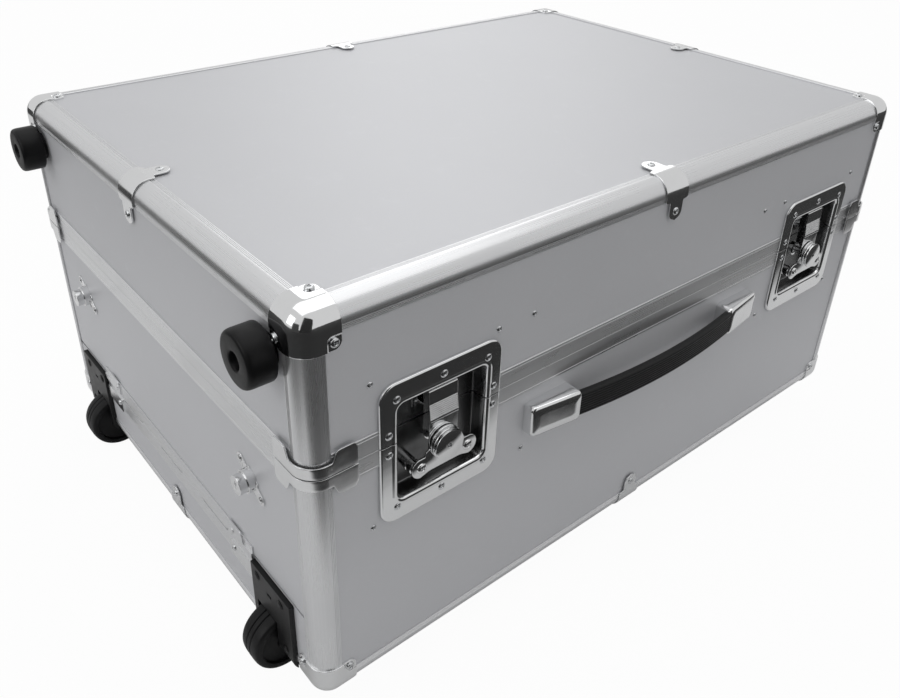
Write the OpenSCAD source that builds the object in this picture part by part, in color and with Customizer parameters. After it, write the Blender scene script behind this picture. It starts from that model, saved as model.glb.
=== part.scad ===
// Portable dental unit packed in a wheeled aluminium flight case.
// Frame: +X along the front, +Y from front to back, +Z up, origin on the floor
// under the middle of the whole object. Millimetres. The lid is drawn closed.

/* [Case] */
// Length of the case over its edge profiles
case_w = 658; // [560:1:800]
// Depth of the case over its edge profiles
case_d = 472; // [400:1:560]
// Height of the closed case over its edge profiles
case_h = 325; // [300:1:400]
// Height of the split between body and lid above the underside
split_z = 208; // [196:1:220]
// Thickness of the laminated wall panels
panel_t = 6; // [4:0.5:9]
// How far a panel lies below the face of the edge profiles
panel_inset = 1.2; // [0.8:0.1:2]
// Gap between a panel and the bottom of the slot that holds it
panel_gap = 0.3; // [0.1:0.1:0.6]

/* [Edge profiles] */
// Width of an edge profile on each face
edge_leg = 18; // [16:0.5:24]
// Outer rounding of the edge profiles
edge_r = 14; // [10:0.5:16]
// Wall of the inner leg of a profile
edge_t = 1.5; // [1:0.1:2.5]
// Number of fine grooves on each leg
flute_count = 3; // [0:1:3]
// Width of a groove
flute_w = 0.6; // [0.3:0.1:0.8]
// Depth of a groove
flute_depth = 0.35; // [0.1:0.05:0.6]
// Distance from one groove to the next
flute_pitch = 1.2; // [1:0.1:1.3]

/* [Split band] */
// Height of the band on each side of the split
band_h = 14.5; // [12:0.5:18]
// Thickness of the band's web at the split
band_web = 4; // [3.5:0.5:6]
// Gap between the two bands when closed
band_gap = 0.3; // [0.2:0.1:0.5]
// Height of the tongue that enters the lid's band
tongue_h = 2; // [1:0.5:2.5]
// Width of the tongue
tongue_w = 2; // [1.5:0.5:3]
// Clearance round the tongue
tongue_gap = 0.4; // [0.3:0.1:0.6]

/* [Corner fittings] */
// Sheet thickness of caps, brackets and clips
fitting_t = 1.2; // [0.8:0.1:2]
// How far a corner cap runs along each edge
cap_reach = 29; // [27:0.5:33]
// Distance of a cap's rivet from both edges
cap_rivet = 23.6; // [22:0.1:28]
// Rounding of a cap's inner corners, round its rivets
cap_ear_r = 5.5; // [4:0.5:7]
// Half height of a ring bracket round the corner
ring_h = 9; // [7:0.5:12]
// Height of a ring bracket's ear on each side of the split
ring_ear_h = 17.5; // [15:0.5:20]
// How far a ring bracket's ear reaches along the face
ring_reach = 36; // [30:1:44]
// Gap between the two ring brackets at the split
ring_gap = 0.8; // [0.6:0.1:1.4]
// Distance of a ring bracket's rivet from the vertical edge
ring_rivet = 29; // [26:0.5:36]
// Distance of a ring bracket's rivet from the split
ring_rivet_z = 8.3; // [7:0.1:12]
// Width of a saddle clip along the edge
clip_w = 26; // [20:1:34]
// Width of a saddle clip's ear
clip_ear_w = 15; // [12:1:20]
// Distance of a saddle clip's rivet from the edge
clip_rivet = 27.2; // [25:0.1:32]
// Head radius of the rivets
rivet_r = 3.2; // [2:0.1:4]
// Height of the rivet heads
rivet_h = 1.2; // [0.8:0.1:2]

/* [Latches] */
// How far each latch sits outward of the middle between carry handle and ring bracket
latch_x = 8; // [-10:0.5:20]
// Height of the middle of the dish above the underside
latch_z = 197.5; // [190:0.5:205]
// Width of the dish flange
flange_w = 101; // [92:1:120]
// Height of the dish flange
flange_h = 113; // [104:1:126]
// Corner radius of the dish flange
flange_r = 12; // [6:1:18]
// Width of the dish opening
dish_w = 76; // [72:1:84]
// Height of the dish opening
dish_h = 80; // [76:1:88]
// Depth of the dish floor behind the case face
dish_depth = 12; // [12:0.5:16]
// Sheet thickness of the dish walls and floor
dish_t = 1; // [0.8:0.1:1.5]
// Sideways distance of the corner screws from the middle
latch_screw_x = 38; // [36:0.5:44]
// Height of the corner screws from the middle
latch_screw_z = 44.5; // [42:0.5:52]
// Extra height of the middle screws
latch_screw_rise = 3.5; // [0:0.5:6]
// Sideways distance of the screws beside the split
latch_side_x = 44.2; // [42:0.1:50]
// Height of the side screws from the split
latch_side_z = 8; // [6:0.5:12]
// Height of the twist knob's axis below the split
knob_drop = 16.5; // [14:0.5:18]
// Radius of the twist knob
knob_r = 12; // [9:0.5:12]
// Height of the knob's disc in front of the wing
knob_h = 5; // [3:0.5:7]
// Radius of the knob's spindle
spindle_r = 4; // [3:0.5:4.5]
// Running clearance of the spindle
spindle_gap = 0.08; // [0.03:0.01:0.1]
// Sideways distance of a wing's lobe from the knob
lobe_x = 20; // [16:0.5:21]
// Drop of a wing's lobe below the knob
lobe_z = 13; // [10:0.5:14]
// Radius of a wing's lobe
lobe_r = 8; // [6:0.5:8]
// Sheet thickness of wing, hook and keeper
latch_t = 1.5; // [1:0.1:1.5]
// How far the wing stands in front of the case face
wing_out = 4.5; // [4:0.5:7]
// Width of the hook
hook_w = 24; // [20:1:28]
// Upward travel of the hook when the latch is released
hook_lift = 8; // [6:0.5:8]
// Outward travel of the hook when the latch is released
hook_out = 4.8; // [4.8:0.1:5.2]
// Overlap of hook and keeper when locked
hook_grip = 1.5; // [1:0.1:1.6]
// Width of the keeper's lip
keeper_w = 20; // [14:1:22]

/* [Carry handle] */
// Length of the carry handle over its end blocks
carry_w = 282; // [240:1:320]
// Height of the end blocks
carry_block_h = 27; // [22:1:34]
// Length of one end block
carry_block_w = 47; // [38:1:56]
// Depth of a block at its outer end
carry_block_d = 10; // [8:0.5:12]
// Extra depth of a block at its inner end
carry_block_rise = 6; // [3:0.5:8]
// Distance of the handle's middle below the split
carry_drop = 39; // [35:1:48]
// Distance of the handle's middle from the middle of the front
carry_shift = -5; // [-10:1:10]
// Height of the black grip
grip_h = 21; // [16:1:24]
// Thickness of the black grip
grip_t = 7; // [6:0.5:9]
// Outward bow of the grip between the blocks
grip_bow = 8; // [6:0.5:14]

/* [Wheels and feet] */
// Radius of a wheel
wheel_r = 27.5; // [24:0.5:30]
// Width of a wheel
wheel_w = 24; // [18:1:28]
// Distance of a wheel's middle plane from the front or back face
wheel_y = 70; // [60:1:90]
// Height of the rubber feet, and how far the wheels stand proud
foot_h = 21.5; // [18:0.5:24]
// Radius of the axle
axle_r = 3; // [2.5:0.5:4]
// Running clearance between axle and wheel
axle_gap = 0.08; // [0.03:0.01:0.1]
// Clearance round the wheel in its well
well_gap = 2; // [1.5:0.5:3]
// Distance of the housing plate from the front or back face
plate_edge = 34; // [30:1:40]
// Width of the housing plate along the edge
plate_w = 56; // [52:1:64]
// Height of the housing plate on the end face
plate_h = 70; // [60:1:78]
// Thickness of the housing plate
plate_t = 3; // [2:0.5:4]
// Radius of a rubber foot
foot_r = 19; // [15:0.5:22]
// Radius of the screw recess in a rubber foot
foot_bore = 6; // [4:0.5:8]
// Distance of the lid's feet from the front or back face
foot_edge = 35; // [34:1:48]
// Distance of the lid's feet from the top
foot_top = 37; // [35:1:48]
// Distance of the underside feet from the right end and from the sides
under_foot_edge = 70; // [40:1:110]

/* [Service door] */
// Height of the door's hinge line above the underside
door_z = 65.5; // [62:0.5:70]
// Gap round the door
door_gap = 0.8; // [0.5:0.1:1.5]
// Radius of the hinge knuckles
door_knuckle_r = 1.6; // [1.4:0.1:2]
// Radius of the hinge pin
door_pin_r = 0.8; // [0.6:0.1:0.9]
// Clearance between knuckle and pin
door_pin_gap = 0.08; // [0.03:0.01:0.1]
// Height of the rails beside the hinge
rail_h = 15.5; // [10:0.5:17]
// Distance of the push locks from the front or back edge
lock_y = 80; // [60:1:110]
// Height of the push locks above the hinge line
lock_rise = 90; // [70:1:100]
// Radius of a lock's barrel
barrel_r = 9; // [7:0.5:11]
// How far the barrel's collar stands out
collar_h = 5; // [3:0.5:7]
// Radius of the push button
button_r = 7.5; // [5:0.5:8]
// How far the button stands out of the collar
button_out = 6; // [5:0.5:8]
// Travel of the button when it is pushed home
button_travel = 5; // [3:0.5:5]
// Radial clearance of the button in the barrel
button_gap = 0.1; // [0.03:0.01:0.1]
// Radius of the locking pin
lock_pin_r = 3; // [2:0.5:4]
// Clearance of the locking pin in its keeper
lock_pin_gap = 0.3; // [0.1:0.1:0.6]
// Distance between the two screws of a lock flange
lock_screw_pitch = 33; // [30:1:38]
// Tilt of the lock flanges
lock_tilt = 37; // [0:1:90]

/* [Lid hinges] */
// Distance from the middle to the outer hinges
hinge_x = 215; // [120:1:240]
// Length of one hinge along its pin
hinge_w = 70; // [50:1:90]
// Height of a hinge leaf on each side of the split
hinge_leaf = 36; // [26:1:50]
// Radius of the hinge knuckles
knuckle_r = 4.5; // [3.5:0.5:6]
// Radius of the hinge pins
hinge_pin_r = 2.5; // [1.5:0.5:3]
// Clearance between knuckle and pin
hinge_pin_gap = 0.08; // [0.03:0.01:0.1]
// Gap between neighbouring knuckles
knuckle_gap = 0.4; // [0.2:0.1:1]

/* [Tow handle] */
// Distance between the two tubes
tow_pitch = 170; // [150:2:210]
// Height of the tubes above the underside
tow_z = 52; // [51:1:60]
// Outer radius of the fixed tubes
tow_r = 10; // [9:0.5:11]
// Wall of all tubes
tow_wall = 1.2; // [1:0.1:1.2]
// Sliding clearance between one tube and the next
tow_gap = 0.1; // [0.05:0.01:0.1]
// Length of the fixed tubes
tow_len = 420; // [360:5:480]
// Travel of each stage
tow_travel = 300; // [200:5:320]
// Depth of the pocket in the right end
pocket_d = 30; // [28:1:36]
// Height of the pocket
pocket_h = 48; // [44:1:54]
// Thickness of the bezel round the pocket
bezel_t = 3; // [2:0.5:4]
// Width of the bezel's rim
bezel_rim = 8; // [6:0.5:9]
// Thickness of the tow grip along the pull
tow_grip_t = 22; // [18:1:24]
// Height of the tow grip
tow_grip_h = 26; // [20:1:30]
// Length of the release button
tow_button_w = 34; // [24:1:50]
// Travel of the release button
tow_button_travel = 3; // [2:0.5:4]

/* [Dental deck] */
// Height of the deck's top above the underside
deck_z = 176; // [168:1:180]
// Thickness of the deck
deck_t = 3; // [2:0.5:4]
// Depth of the bay behind the service door
bay_d = 78; // [72:1:110]
// Radius of the bottles
bottle_r = 44; // [36:1:46]
// Wall of the bottles
bottle_wall = 2; // [1.5:0.5:3]
// Radius of the bottle caps
bottle_cap_r = 24; // [18:1:28]
// Radius of the pressure gauge
gauge_r = 27; // [20:1:32]
// Radius of the air regulator knob
regulator_r = 17; // [12:1:20]
// Radius of the water knob
water_r = 12; // [9:1:15]
// Radius of the shafts that carry the two knobs
shaft_r = 3; // [2:0.5:4]
// Running clearance of a knob on its shaft
shaft_gap = 0.08; // [0.03:0.01:0.1]
// Length of the power rocker
rocker_w = 26; // [20:1:32]
// Angle between the rocker's two positions
rocker_swing = 16; // [10:1:20]
// Radius of a hose connector's nose
port_r = 5; // [4:0.5:6]
// Length of a hose connector's nose
port_len = 12; // [8:1:14]
// Distance from one hose connector to the next
port_pitch = 45; // [32:1:50]
// Length of the handpiece rest
rest_len = 190; // [180:1:210]
// Width of the handpiece rest
rest_w = 36; // [28:1:40]
// Height of the handpiece rest
rest_h = 24; // [20:1:30]
// Length of the compressor's base plate
comp_w = 200; // [190:1:210]
// Depth of the compressor's base plate
comp_d = 140; // [100:1:150]
// Radius of the compressor's motor
motor_r = 46; // [36:1:50]
// Length of the compressor's motor
motor_w = 110; // [90:1:120]

/* [Hidden] */
$fn = 48;
over = 1;                    // how far a cut runs past a face
silver = "#c9cbd0";
chrome = "#dcdfe3";
steel = "#a9adb2";
black = "#1b1c1e";
rubber = "#141414";
plastic = "#e9ecef";

half_w = case_w / 2;
half_d = case_d / 2;
skin_in = panel_inset + panel_t;               // inner face of a panel
seat = skin_in + edge_t;                       // core of an edge profile
body_top = split_z - band_gap / 2;
lid_bottom = split_z + band_gap / 2;
wheel_c = wheel_r - foot_h;                    // axle's distance from both faces
well_r = wheel_r + well_gap;
well_w = wheel_w + 2 * well_gap;
well_wall = 2.5;
pocket_x = wheel_c + well_r + well_wall;       // housing box inside the case
plate_out = plate_edge + plate_w;
sill_half = half_d - plate_out - door_gap;     // half length of the rails
// the door's edge over the plates swings clear of their outer corners
door_low = door_z + norm([plate_t + door_knuckle_r, plate_h - door_z]) + door_gap;
hinge_y = half_d + knuckle_r + 0.5;            // lid hinge axis
latch_mid = (carry_w / 2 + half_w - ring_reach) / 2 + latch_x;
knob_z = split_z - knob_drop;
tow_mid_r = tow_r - tow_wall - tow_gap;
tow_in_r = tow_mid_r - tow_wall - tow_gap;
tow_x = half_w - skin_in - pocket_d + panel_t; // right end of the fixed tubes
right_out = bezel_t - panel_inset;
front_out = carry_block_d + carry_block_rise - 1 + grip_bow - panel_inset;
back_out = hinge_y - half_d + knuckle_r;
origin_x = (max(foot_h, right_out) - max(right_out, fitting_t + rivet_h)) / 2;
origin_y = (front_out - back_out) / 2;
bay_x = -half_w + skin_in + bay_d;             // face of the service panel
inner_x = half_w - skin_in;
inner_y = half_d - skin_in;

// Puts the case on its wheels and feet, over the origin.
module placed() translate([origin_x, origin_y, foot_h]) children();

// Repeats a front-left child at all four corners.
module four_corners()
    for (flip_x = [0, 1], flip_y = [0, 1]) mirror([flip_x, 0, 0]) mirror([0, flip_y, 0]) children();

module front_and_back() for (flip = [0, 1]) mirror([0, flip, 0]) children();
module left_and_right() for (flip = [0, 1]) mirror([flip, 0, 0]) children();

// Upside down about the middle height of the case.
module top_side() translate([0, 0, case_h]) mirror([0, 0, 1]) children();

module rounded_rect(w, h, r) {
    square([w - 2 * r, h], center = true);
    square([w, h - 2 * r], center = true);
    for (sx = [-1, 1], sy = [-1, 1]) translate([sx * (w / 2 - r), sy * (h / 2 - r)]) circle(r);
}

// A square with its corner at the origin rounded off.
module rounded_quadrant(size, r) intersection() {
    square(size);
    union() {
        translate([r, r]) circle(r);
        translate([r, 0]) square(size);
        translate([0, r]) square(size);
    }
}

// A block with three faces at the origin and the three edges between them rounded.
module rounded_block(size, r) intersection() {
    linear_extrude(size) rounded_quadrant(size, r);
    rotate([90, 0, 90]) linear_extrude(size) rounded_quadrant(size, r);
    rotate([-90, -90, 0]) linear_extrude(size) rounded_quadrant(size, r);
}

// What a rounded block's corner loses to become nearly a ball.
module corner_waste(r) difference() {
    translate([-over, -over, -over]) cube(r + over);
    translate([r, r, r]) sphere(r * corner_fullness);
}
corner_fullness = 1.05;

module rivet(r = rivet_r, h = rivet_h) {
    cylinder(h = h * 0.4, r = r);
    translate([0, 0, h * 0.4]) cylinder(h = h * 0.6, r1 = r * 0.9, r2 = r * 0.55);
}

// ---- edge profiles ---------------------------------------------------------

module edge_profile() difference() {
    rounded_quadrant(edge_leg, edge_r);
    translate([seat, panel_inset]) square([edge_leg, panel_t]);
    translate([panel_inset, seat]) square([panel_t, edge_leg]);
    translate([seat, seat]) square(edge_leg);
    for (i = [0:1:flute_count - 1]) {
        along = edge_leg - 1 - flute_w - i * flute_pitch;
        translate([along, -over]) square([flute_w, flute_depth + over]);
        translate([-over, along]) square([flute_depth + over, flute_w]);
    }
}

// Bottom edge along the front, up to the corner castings.
edge_gap = 0.1;                                // keeps neighbouring profiles apart
module long_edge() translate([-half_w + edge_leg, -half_d, 0]) rotate([90, 0, 90])
    linear_extrude(case_w - 2 * edge_leg) edge_profile();

// Bottom edge along the left end.
module short_edge() translate([-half_w, half_d - edge_leg - edge_gap, 0]) rotate([90, 0, 0])
    linear_extrude(case_d - 2 * (edge_leg + edge_gap)) edge_profile();

// Vertical edge between two heights.
module upright(z0, z1) translate([-half_w, -half_d, z0]) linear_extrude(z1 - z0) edge_profile();

module body_edge_profiles() color(silver) placed() difference() {
    union() {
        front_and_back() long_edge();
        left_and_right() short_edge();
        four_corners() upright(edge_leg + edge_gap, body_top);
    }
    wheel_pockets(0);
}

module lid_edge_profiles() color(silver) placed() {
    top_side() front_and_back() long_edge();
    top_side() left_and_right() short_edge();
    four_corners() upright(lid_bottom, case_h - edge_leg - edge_gap);
}

// ---- panels ----------------------------------------------------------------

// Wall with its outer face inset from the plane y = -half_d.
module front_wall(z0, z1) translate([-half_w + seat + panel_gap, -half_d + panel_inset, z0])
    cube([case_w - 2 * (seat + panel_gap), panel_t, z1 - z0]);

module end_wall(z0, z1) translate([-half_w + panel_inset, -half_d + seat + panel_gap, z0])
    cube([panel_t, case_d - 2 * (seat + panel_gap), z1 - z0]);

wall_low = seat + panel_gap;
wall_top = body_top - band_web - panel_gap;
wall_from = lid_bottom + band_web + panel_gap;

module body_wall_panels() color(silver) placed() {
    difference() {
        front_wall(wall_low, wall_top);
        latch_recesses(0);
    }
    mirror([0, 1, 0]) front_wall(wall_low, wall_top);
    difference() {
        mirror([1, 0, 0]) end_wall(wall_low, wall_top);
        tow_pocket_cut();
    }
    difference() {
        end_wall(wall_low, plate_h);
        wheel_pockets(0);
        translate([-half_w, -sill_half, door_z - rail_from - 0.6]) cube([edge_leg, 2 * sill_half, plate_h]);
    }
    // posts between the door and the uprights
    front_and_back() translate([-half_w + panel_inset, -half_d + seat + panel_gap, door_low])
        cube([panel_t, edge_leg - seat - panel_gap, wall_top - door_low]);
}

module bottom_panel() color(silver) placed() difference() {
    translate([-half_w + seat + panel_gap, -half_d + seat + panel_gap, panel_inset])
        cube([case_w - 2 * (seat + panel_gap), case_d - 2 * (seat + panel_gap), panel_t]);
    wheel_pockets(0);
}

module lid_top_panel() color(silver) placed() top_side()
    translate([-half_w + seat + panel_gap, -half_d + seat + panel_gap, panel_inset])
        cube([case_w - 2 * (seat + panel_gap), case_d - 2 * (seat + panel_gap), panel_t]);

module lid_wall_panels() color(silver) placed() {
    difference() {
        front_wall(wall_from, case_h - wall_low);
        latch_recesses(0);
    }
    mirror([0, 1, 0]) front_wall(wall_from, case_h - wall_low);
    left_and_right() end_wall(wall_from, case_h - wall_low);
}

// ---- split band ------------------------------------------------------------

// Section of the lower band: x is depth from the outer face, y is height.
module band_section() {
    translate([0, -band_h]) square([panel_inset, band_h]);
    translate([skin_in, -band_h]) square([edge_t, band_h]);
    translate([0, -band_web]) square([seat, band_web]);
}

module tongue_section() translate([(seat - tongue_w) / 2, -over]) square([tongue_w, over + tongue_h]);

// Section of the lid's band, drawn hanging down as the lower one is.
module lid_band_section() difference() {
    band_section();
    translate([(seat - tongue_w) / 2 - tongue_gap, -tongue_h - tongue_gap])
        square([tongue_w + 2 * tongue_gap, tongue_h + tongue_gap + over]);
}

// Strip along the front between the uprights, its top at z = 0.
module front_strip(short = 0) translate([-half_w + edge_leg + short, -half_d, 0]) rotate([90, 0, 90])
    linear_extrude(case_w - 2 * edge_leg - 2 * short) children();

// Strip along the left end between the uprights.
module end_strip(short = 0) translate([-half_w, half_d - edge_leg - short, 0]) rotate([90, 0, 0])
    linear_extrude(case_d - 2 * edge_leg - 2 * short) children();

module body_split_band() color(silver) placed() {
    difference() {
        translate([0, 0, body_top]) {
            front_strip() band_section();
            front_strip(tongue_gap) tongue_section();
        }
        latch_recesses(0);
    }
    translate([0, 0, body_top]) {
        mirror([0, 1, 0]) front_strip() band_section();
        left_and_right() end_strip() band_section();
        left_and_right() end_strip(tongue_gap) tongue_section();
    }
}

module lid_split_band() color(silver) placed() {
    difference() {
        translate([0, 0, lid_bottom]) mirror([0, 0, 1]) front_strip() lid_band_section();
        latch_recesses(0);
    }
    translate([0, 0, lid_bottom]) mirror([0, 0, 1]) {
        mirror([0, 1, 0]) front_strip() band_section();
        left_and_right() end_strip() lid_band_section();
    }
}

// ---- corner caps, ring brackets, saddle clips ------------------------------

module cap_outline() rounded_rect(2 * cap_reach, 2 * cap_reach, cap_ear_r);

// Cap over the front left bottom corner.
module corner_cap() translate([-half_w, -half_d, 0]) difference() {
    intersection() {
        translate([-fitting_t, -fitting_t, -fitting_t]) difference() {
            rounded_block(cap_reach + 2 * fitting_t, edge_r + fitting_t);
            corner_waste(edge_r + fitting_t);
        }
        union() {
            translate([0, 0, -fitting_t]) linear_extrude(edge_r + fitting_t) cap_outline();
            rotate([90, 0, 90]) translate([0, 0, -fitting_t])
                linear_extrude(edge_r + fitting_t) cap_outline();
            rotate([-90, -90, 0]) translate([0, 0, -fitting_t])
                linear_extrude(edge_r + fitting_t) cap_outline();
        }
    }
    difference() {
        rounded_block(cap_reach + 2 * fitting_t, edge_r);
        cube(edge_leg);
    }
    // slots for the three panels, and the inside of the case
    translate([seat, seat, panel_inset]) cube([edge_leg, edge_leg, panel_t]);
    translate([seat, panel_inset, seat]) cube([edge_leg, panel_t, edge_leg]);
    translate([panel_inset, seat, seat]) cube([panel_t, edge_leg, edge_leg]);
    translate([seat, seat, seat]) cube(edge_leg);
}

module body_corner_caps() color(chrome) placed() four_corners() corner_cap();
module lid_corner_caps() color(chrome) placed() top_side() four_corners() corner_cap();

// Half an ear between x0 and x1, cut off at the height from.
module half_ear(x0, x1, from) intersection() {
    translate([(x0 + x1) / 2, 0]) rounded_rect(x1 - x0, 2 * ring_ear_h, 4);
    translate([x0, from]) square([x1 - x0, 2 * ring_ear_h]);
}

// Bracket round the front left upright, above the split.
module ring_bracket() translate([-half_w, -half_d, split_z]) {
    difference() {
        translate([0, 0, ring_gap / 2]) linear_extrude(ring_h - ring_gap / 2)
            translate([-fitting_t, -fitting_t])
                rounded_quadrant(edge_leg + fitting_t, edge_r + fitting_t);
        linear_extrude(ring_h + over) rounded_quadrant(edge_leg + over, edge_r);
    }
    for (turn = [0, 1]) mirror([turn, -turn, 0]) rotate([90, 0, 0]) linear_extrude(fitting_t)
        half_ear(edge_leg, ring_reach, ring_gap / 2);
}

module below_split() translate([0, 0, 2 * split_z]) mirror([0, 0, 1]) children();

// Brackets at the ends of the door's rails, clear of each other when the door is down.
rail_gap = door_knuckle_r + fitting_t + 0.4;
sill_reach = 36;

module sill_bracket() translate([-half_w, -sill_half, door_z]) rotate([90, 0, -90]) mirror([1, 0, 0])
    linear_extrude(fitting_t) {
        translate([0, rail_gap]) square([14, ring_h - rail_gap]);
        half_ear(14, sill_reach, rail_gap);
    }

module body_ring_brackets() color(chrome) placed() {
    below_split() four_corners() ring_bracket();
    translate([0, 0, 2 * door_z]) mirror([0, 0, 1]) front_and_back() sill_bracket();
}

module lid_ring_brackets() color(chrome) placed() four_corners() ring_bracket();

// Clip over a bottom edge at the middle of the front.
module clip_strap() {
    difference() {
        translate([-clip_w / 2, -fitting_t, -fitting_t]) rotate([90, 0, 90]) linear_extrude(clip_w)
            rounded_quadrant(edge_leg + fitting_t, edge_r + fitting_t);
        translate([-clip_w, 0, 0]) rotate([90, 0, 90]) linear_extrude(2 * clip_w)
            rounded_quadrant(edge_leg + over, edge_r);
    }
    clip_ear();
    mirror([0, 1, -1]) clip_ear();
}

module clip_ear() rotate([90, 0, 0]) linear_extrude(fitting_t) {
    translate([-clip_ear_w / 2, edge_leg - over]) square([clip_ear_w, clip_rivet - edge_leg + over]);
    translate([0, clip_rivet]) circle(clip_ear_w / 2);
}

// Clips on both long edges and on the left one, which leaves the tow bezel's end free.
module clips() {
    front_and_back() translate([0, -half_d, 0]) clip_strap();
    translate([-half_w, 0, 0]) rotate(-90) clip_strap();
}

module body_saddle_clips() color(chrome) placed() clips();
module lid_saddle_clips() color(chrome) placed() top_side() {
    clips();
    mirror([1, 0, 0]) translate([-half_w, 0, 0]) rotate(-90) clip_strap();
}

// ---- rivets ----------------------------------------------------------------

// Heads on the ears of a cap, bracket or clip, on the faces that show.
module corner_cap_rivets() {
    translate([-half_w + cap_rivet, -half_d - fitting_t, cap_rivet]) rotate([90, 0, 0]) rivet();
    translate([-half_w - fitting_t, -half_d + cap_rivet, cap_rivet]) rotate([0, -90, 0]) rivet();
    translate([-half_w + cap_rivet, -half_d + cap_rivet, -fitting_t]) rotate([180, 0, 0]) rivet();
}

module ring_rivets() {
    translate([-half_w + ring_rivet, -half_d - fitting_t, split_z + ring_rivet_z])
        rotate([90, 0, 0]) rivet();
    translate([-half_w - fitting_t, -half_d + ring_rivet, split_z + ring_rivet_z])
        rotate([0, -90, 0]) rivet();
}

module clip_rivets() {
    front_and_back() translate([0, -half_d, 0]) {
        translate([0, -fitting_t, clip_rivet]) rotate([90, 0, 0]) rivet();
        translate([0, clip_rivet, -fitting_t]) rotate([180, 0, 0]) rivet();
    }
    end_clip_rivets();
}

module end_clip_rivets() translate([-half_w, 0, 0]) {
    translate([-fitting_t, 0, clip_rivet]) rotate([0, -90, 0]) rivet();
    translate([clip_rivet, 0, -fitting_t]) rotate([180, 0, 0]) rivet();
}

// Pop rivets on the flat of the front panel, near its ends and beside the latches: [x, height].
dot_r = 2.4;
dot_end = half_w - 48;
body_dots = [[-dot_end, 142.5], [dot_end, 142.5], [79 - latch_mid, 141], [latch_mid - 65, 144]];
lid_dots = [[-dot_end, 260], [dot_end, 260], [49 - latch_mid, 259], [82 - latch_mid, 259],
    [latch_mid - 88, 259], [latch_mid - 57, 259]];

module front_dots(places) for (p = places)
    translate([p[0], -half_d + panel_inset, p[1]]) rotate([90, 0, 0]) rivet(dot_r, 1);

module sill_bracket_rivets() translate([-half_w - fitting_t, -sill_half + sill_reach - 6, door_z + 9])
    rotate([0, -90, 0]) rivet(2.6);

module body_rivets() color(steel) placed() {
    four_corners() corner_cap_rivets();
    below_split() four_corners() ring_rivets();
    clip_rivets();
    front_dots(body_dots);
    latch_screws(-1);
    under_foot_places() foot_screw();
    translate([0, 0, 2 * door_z]) mirror([0, 0, 1]) front_and_back() sill_bracket_rivets();
}

module lid_rivets() color(steel) placed() {
    top_side() four_corners() corner_cap_rivets();
    four_corners() ring_rivets();
    top_side() {
        clip_rivets();
        mirror([1, 0, 0]) end_clip_rivets();
    }
    front_dots(lid_dots);
    latch_screws(1);
    lid_foot_places() foot_screw();
}

// ---- latches ---------------------------------------------------------------

// Space that each dish takes out of panels and bands.
module latch_recesses(gap) for (sx = [-1, 1])
    translate([sx * latch_mid, -half_d - over, latch_z]) rotate([-90, 0, 0])
        linear_extrude(dish_depth + dish_t + over + gap)
            square([dish_w + 2 * dish_t + 2 * gap, dish_h + 2 * dish_t + 2 * gap], center = true);

// One whole pressed dish with its flange; the split cuts it in two.
module dish() translate([0, -half_d, latch_z]) rotate([90, 0, 0]) difference() {
    union() {
        linear_extrude(fitting_t) rounded_rect(flange_w, flange_h, flange_r);
        // skirt from the flange down to the panel, beside the bands
        translate([0, 0, -panel_inset]) linear_extrude(panel_inset) difference() {
            rounded_rect(flange_w, flange_h, flange_r);
            translate([-flange_w, split_z - latch_z - band_h]) square([2 * flange_w, 2 * band_h]);
        }
        translate([0, 0, -dish_depth - dish_t]) linear_extrude(dish_depth + dish_t)
            square([dish_w + 2 * dish_t, dish_h + 2 * dish_t], center = true);
    }
    translate([0, 0, -dish_depth]) linear_extrude(dish_depth + fitting_t + over)
        rounded_rect(dish_w, dish_h, 6);
}

module lower_half() intersection() {
    children();
    translate([-case_w, -case_d, 0]) cube([2 * case_w, 2 * case_d, split_z - ring_gap / 2]);
}

module upper_half() intersection() {
    children();
    translate([-case_w, -case_d, split_z + ring_gap / 2]) cube([2 * case_w, 2 * case_d, case_h]);
}

module at_latches() for (sx = [-1, 1]) translate([sx * latch_mid, 0, 0]) children();

// Bush for the spindle and the spring barrel, standing on the dish floor.
barrel_in = 5;
module latch_floor() translate([0, -half_d + dish_depth, 0]) {
    translate([0, 0, knob_z]) rotate([90, 0, 0]) difference() {
        cylinder(h = 3, r = spindle_r + 3);
        translate([0, 0, -over]) cylinder(h = 3 + 2 * over, r = spindle_r + spindle_gap);
    }
    translate([-lobe_x - 3, 0, knob_z - lobe_z]) rotate([90, 0, 0])
        cylinder(h = dish_depth + wing_out - latch_t - 1, r = barrel_in);
}

module latch_dishes_lower() color(chrome) placed() at_latches() {
    lower_half() dish();
    latch_floor();
}

module latch_dishes_upper() color(chrome) placed() at_latches() upper_half() dish();

// Screw heads of the flanges; side = -1 below the split and 1 above.
module latch_screws(side) at_latches() translate([0, -half_d - fitting_t, 0]) {
    for (sx = [-1, 1]) {
        translate([sx * latch_screw_x, 0, latch_z + side * latch_screw_z]) rotate([90, 0, 0]) rivet();
        translate([sx * latch_side_x, 0, split_z + side * latch_side_z]) rotate([90, 0, 0]) rivet();
    }
    translate([0, 0, latch_z + side * (latch_screw_z + latch_screw_rise)]) rotate([90, 0, 0]) rivet();
}

// Depths in the dish are measured inwards from the case face.
lip_in = 5;                                       // keeper lip's outer face
lip_top = split_z + 18;                           // keeper lip's upper edge
claw_in = lip_in - 0.5;                           // deepest face of the released claw
claw_low = lip_top - hook_grip + hook_lift;       // claw's lower edge, released
claw_drop = 2;
hook_top = claw_low + claw_drop + latch_t;
hook_front = claw_in - hook_out - 2.1;            // hook's front face, released
wing_back = latch_t - wing_out;                   // back of the wing
hook_low = knob_z - spindle_r - 8;

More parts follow.
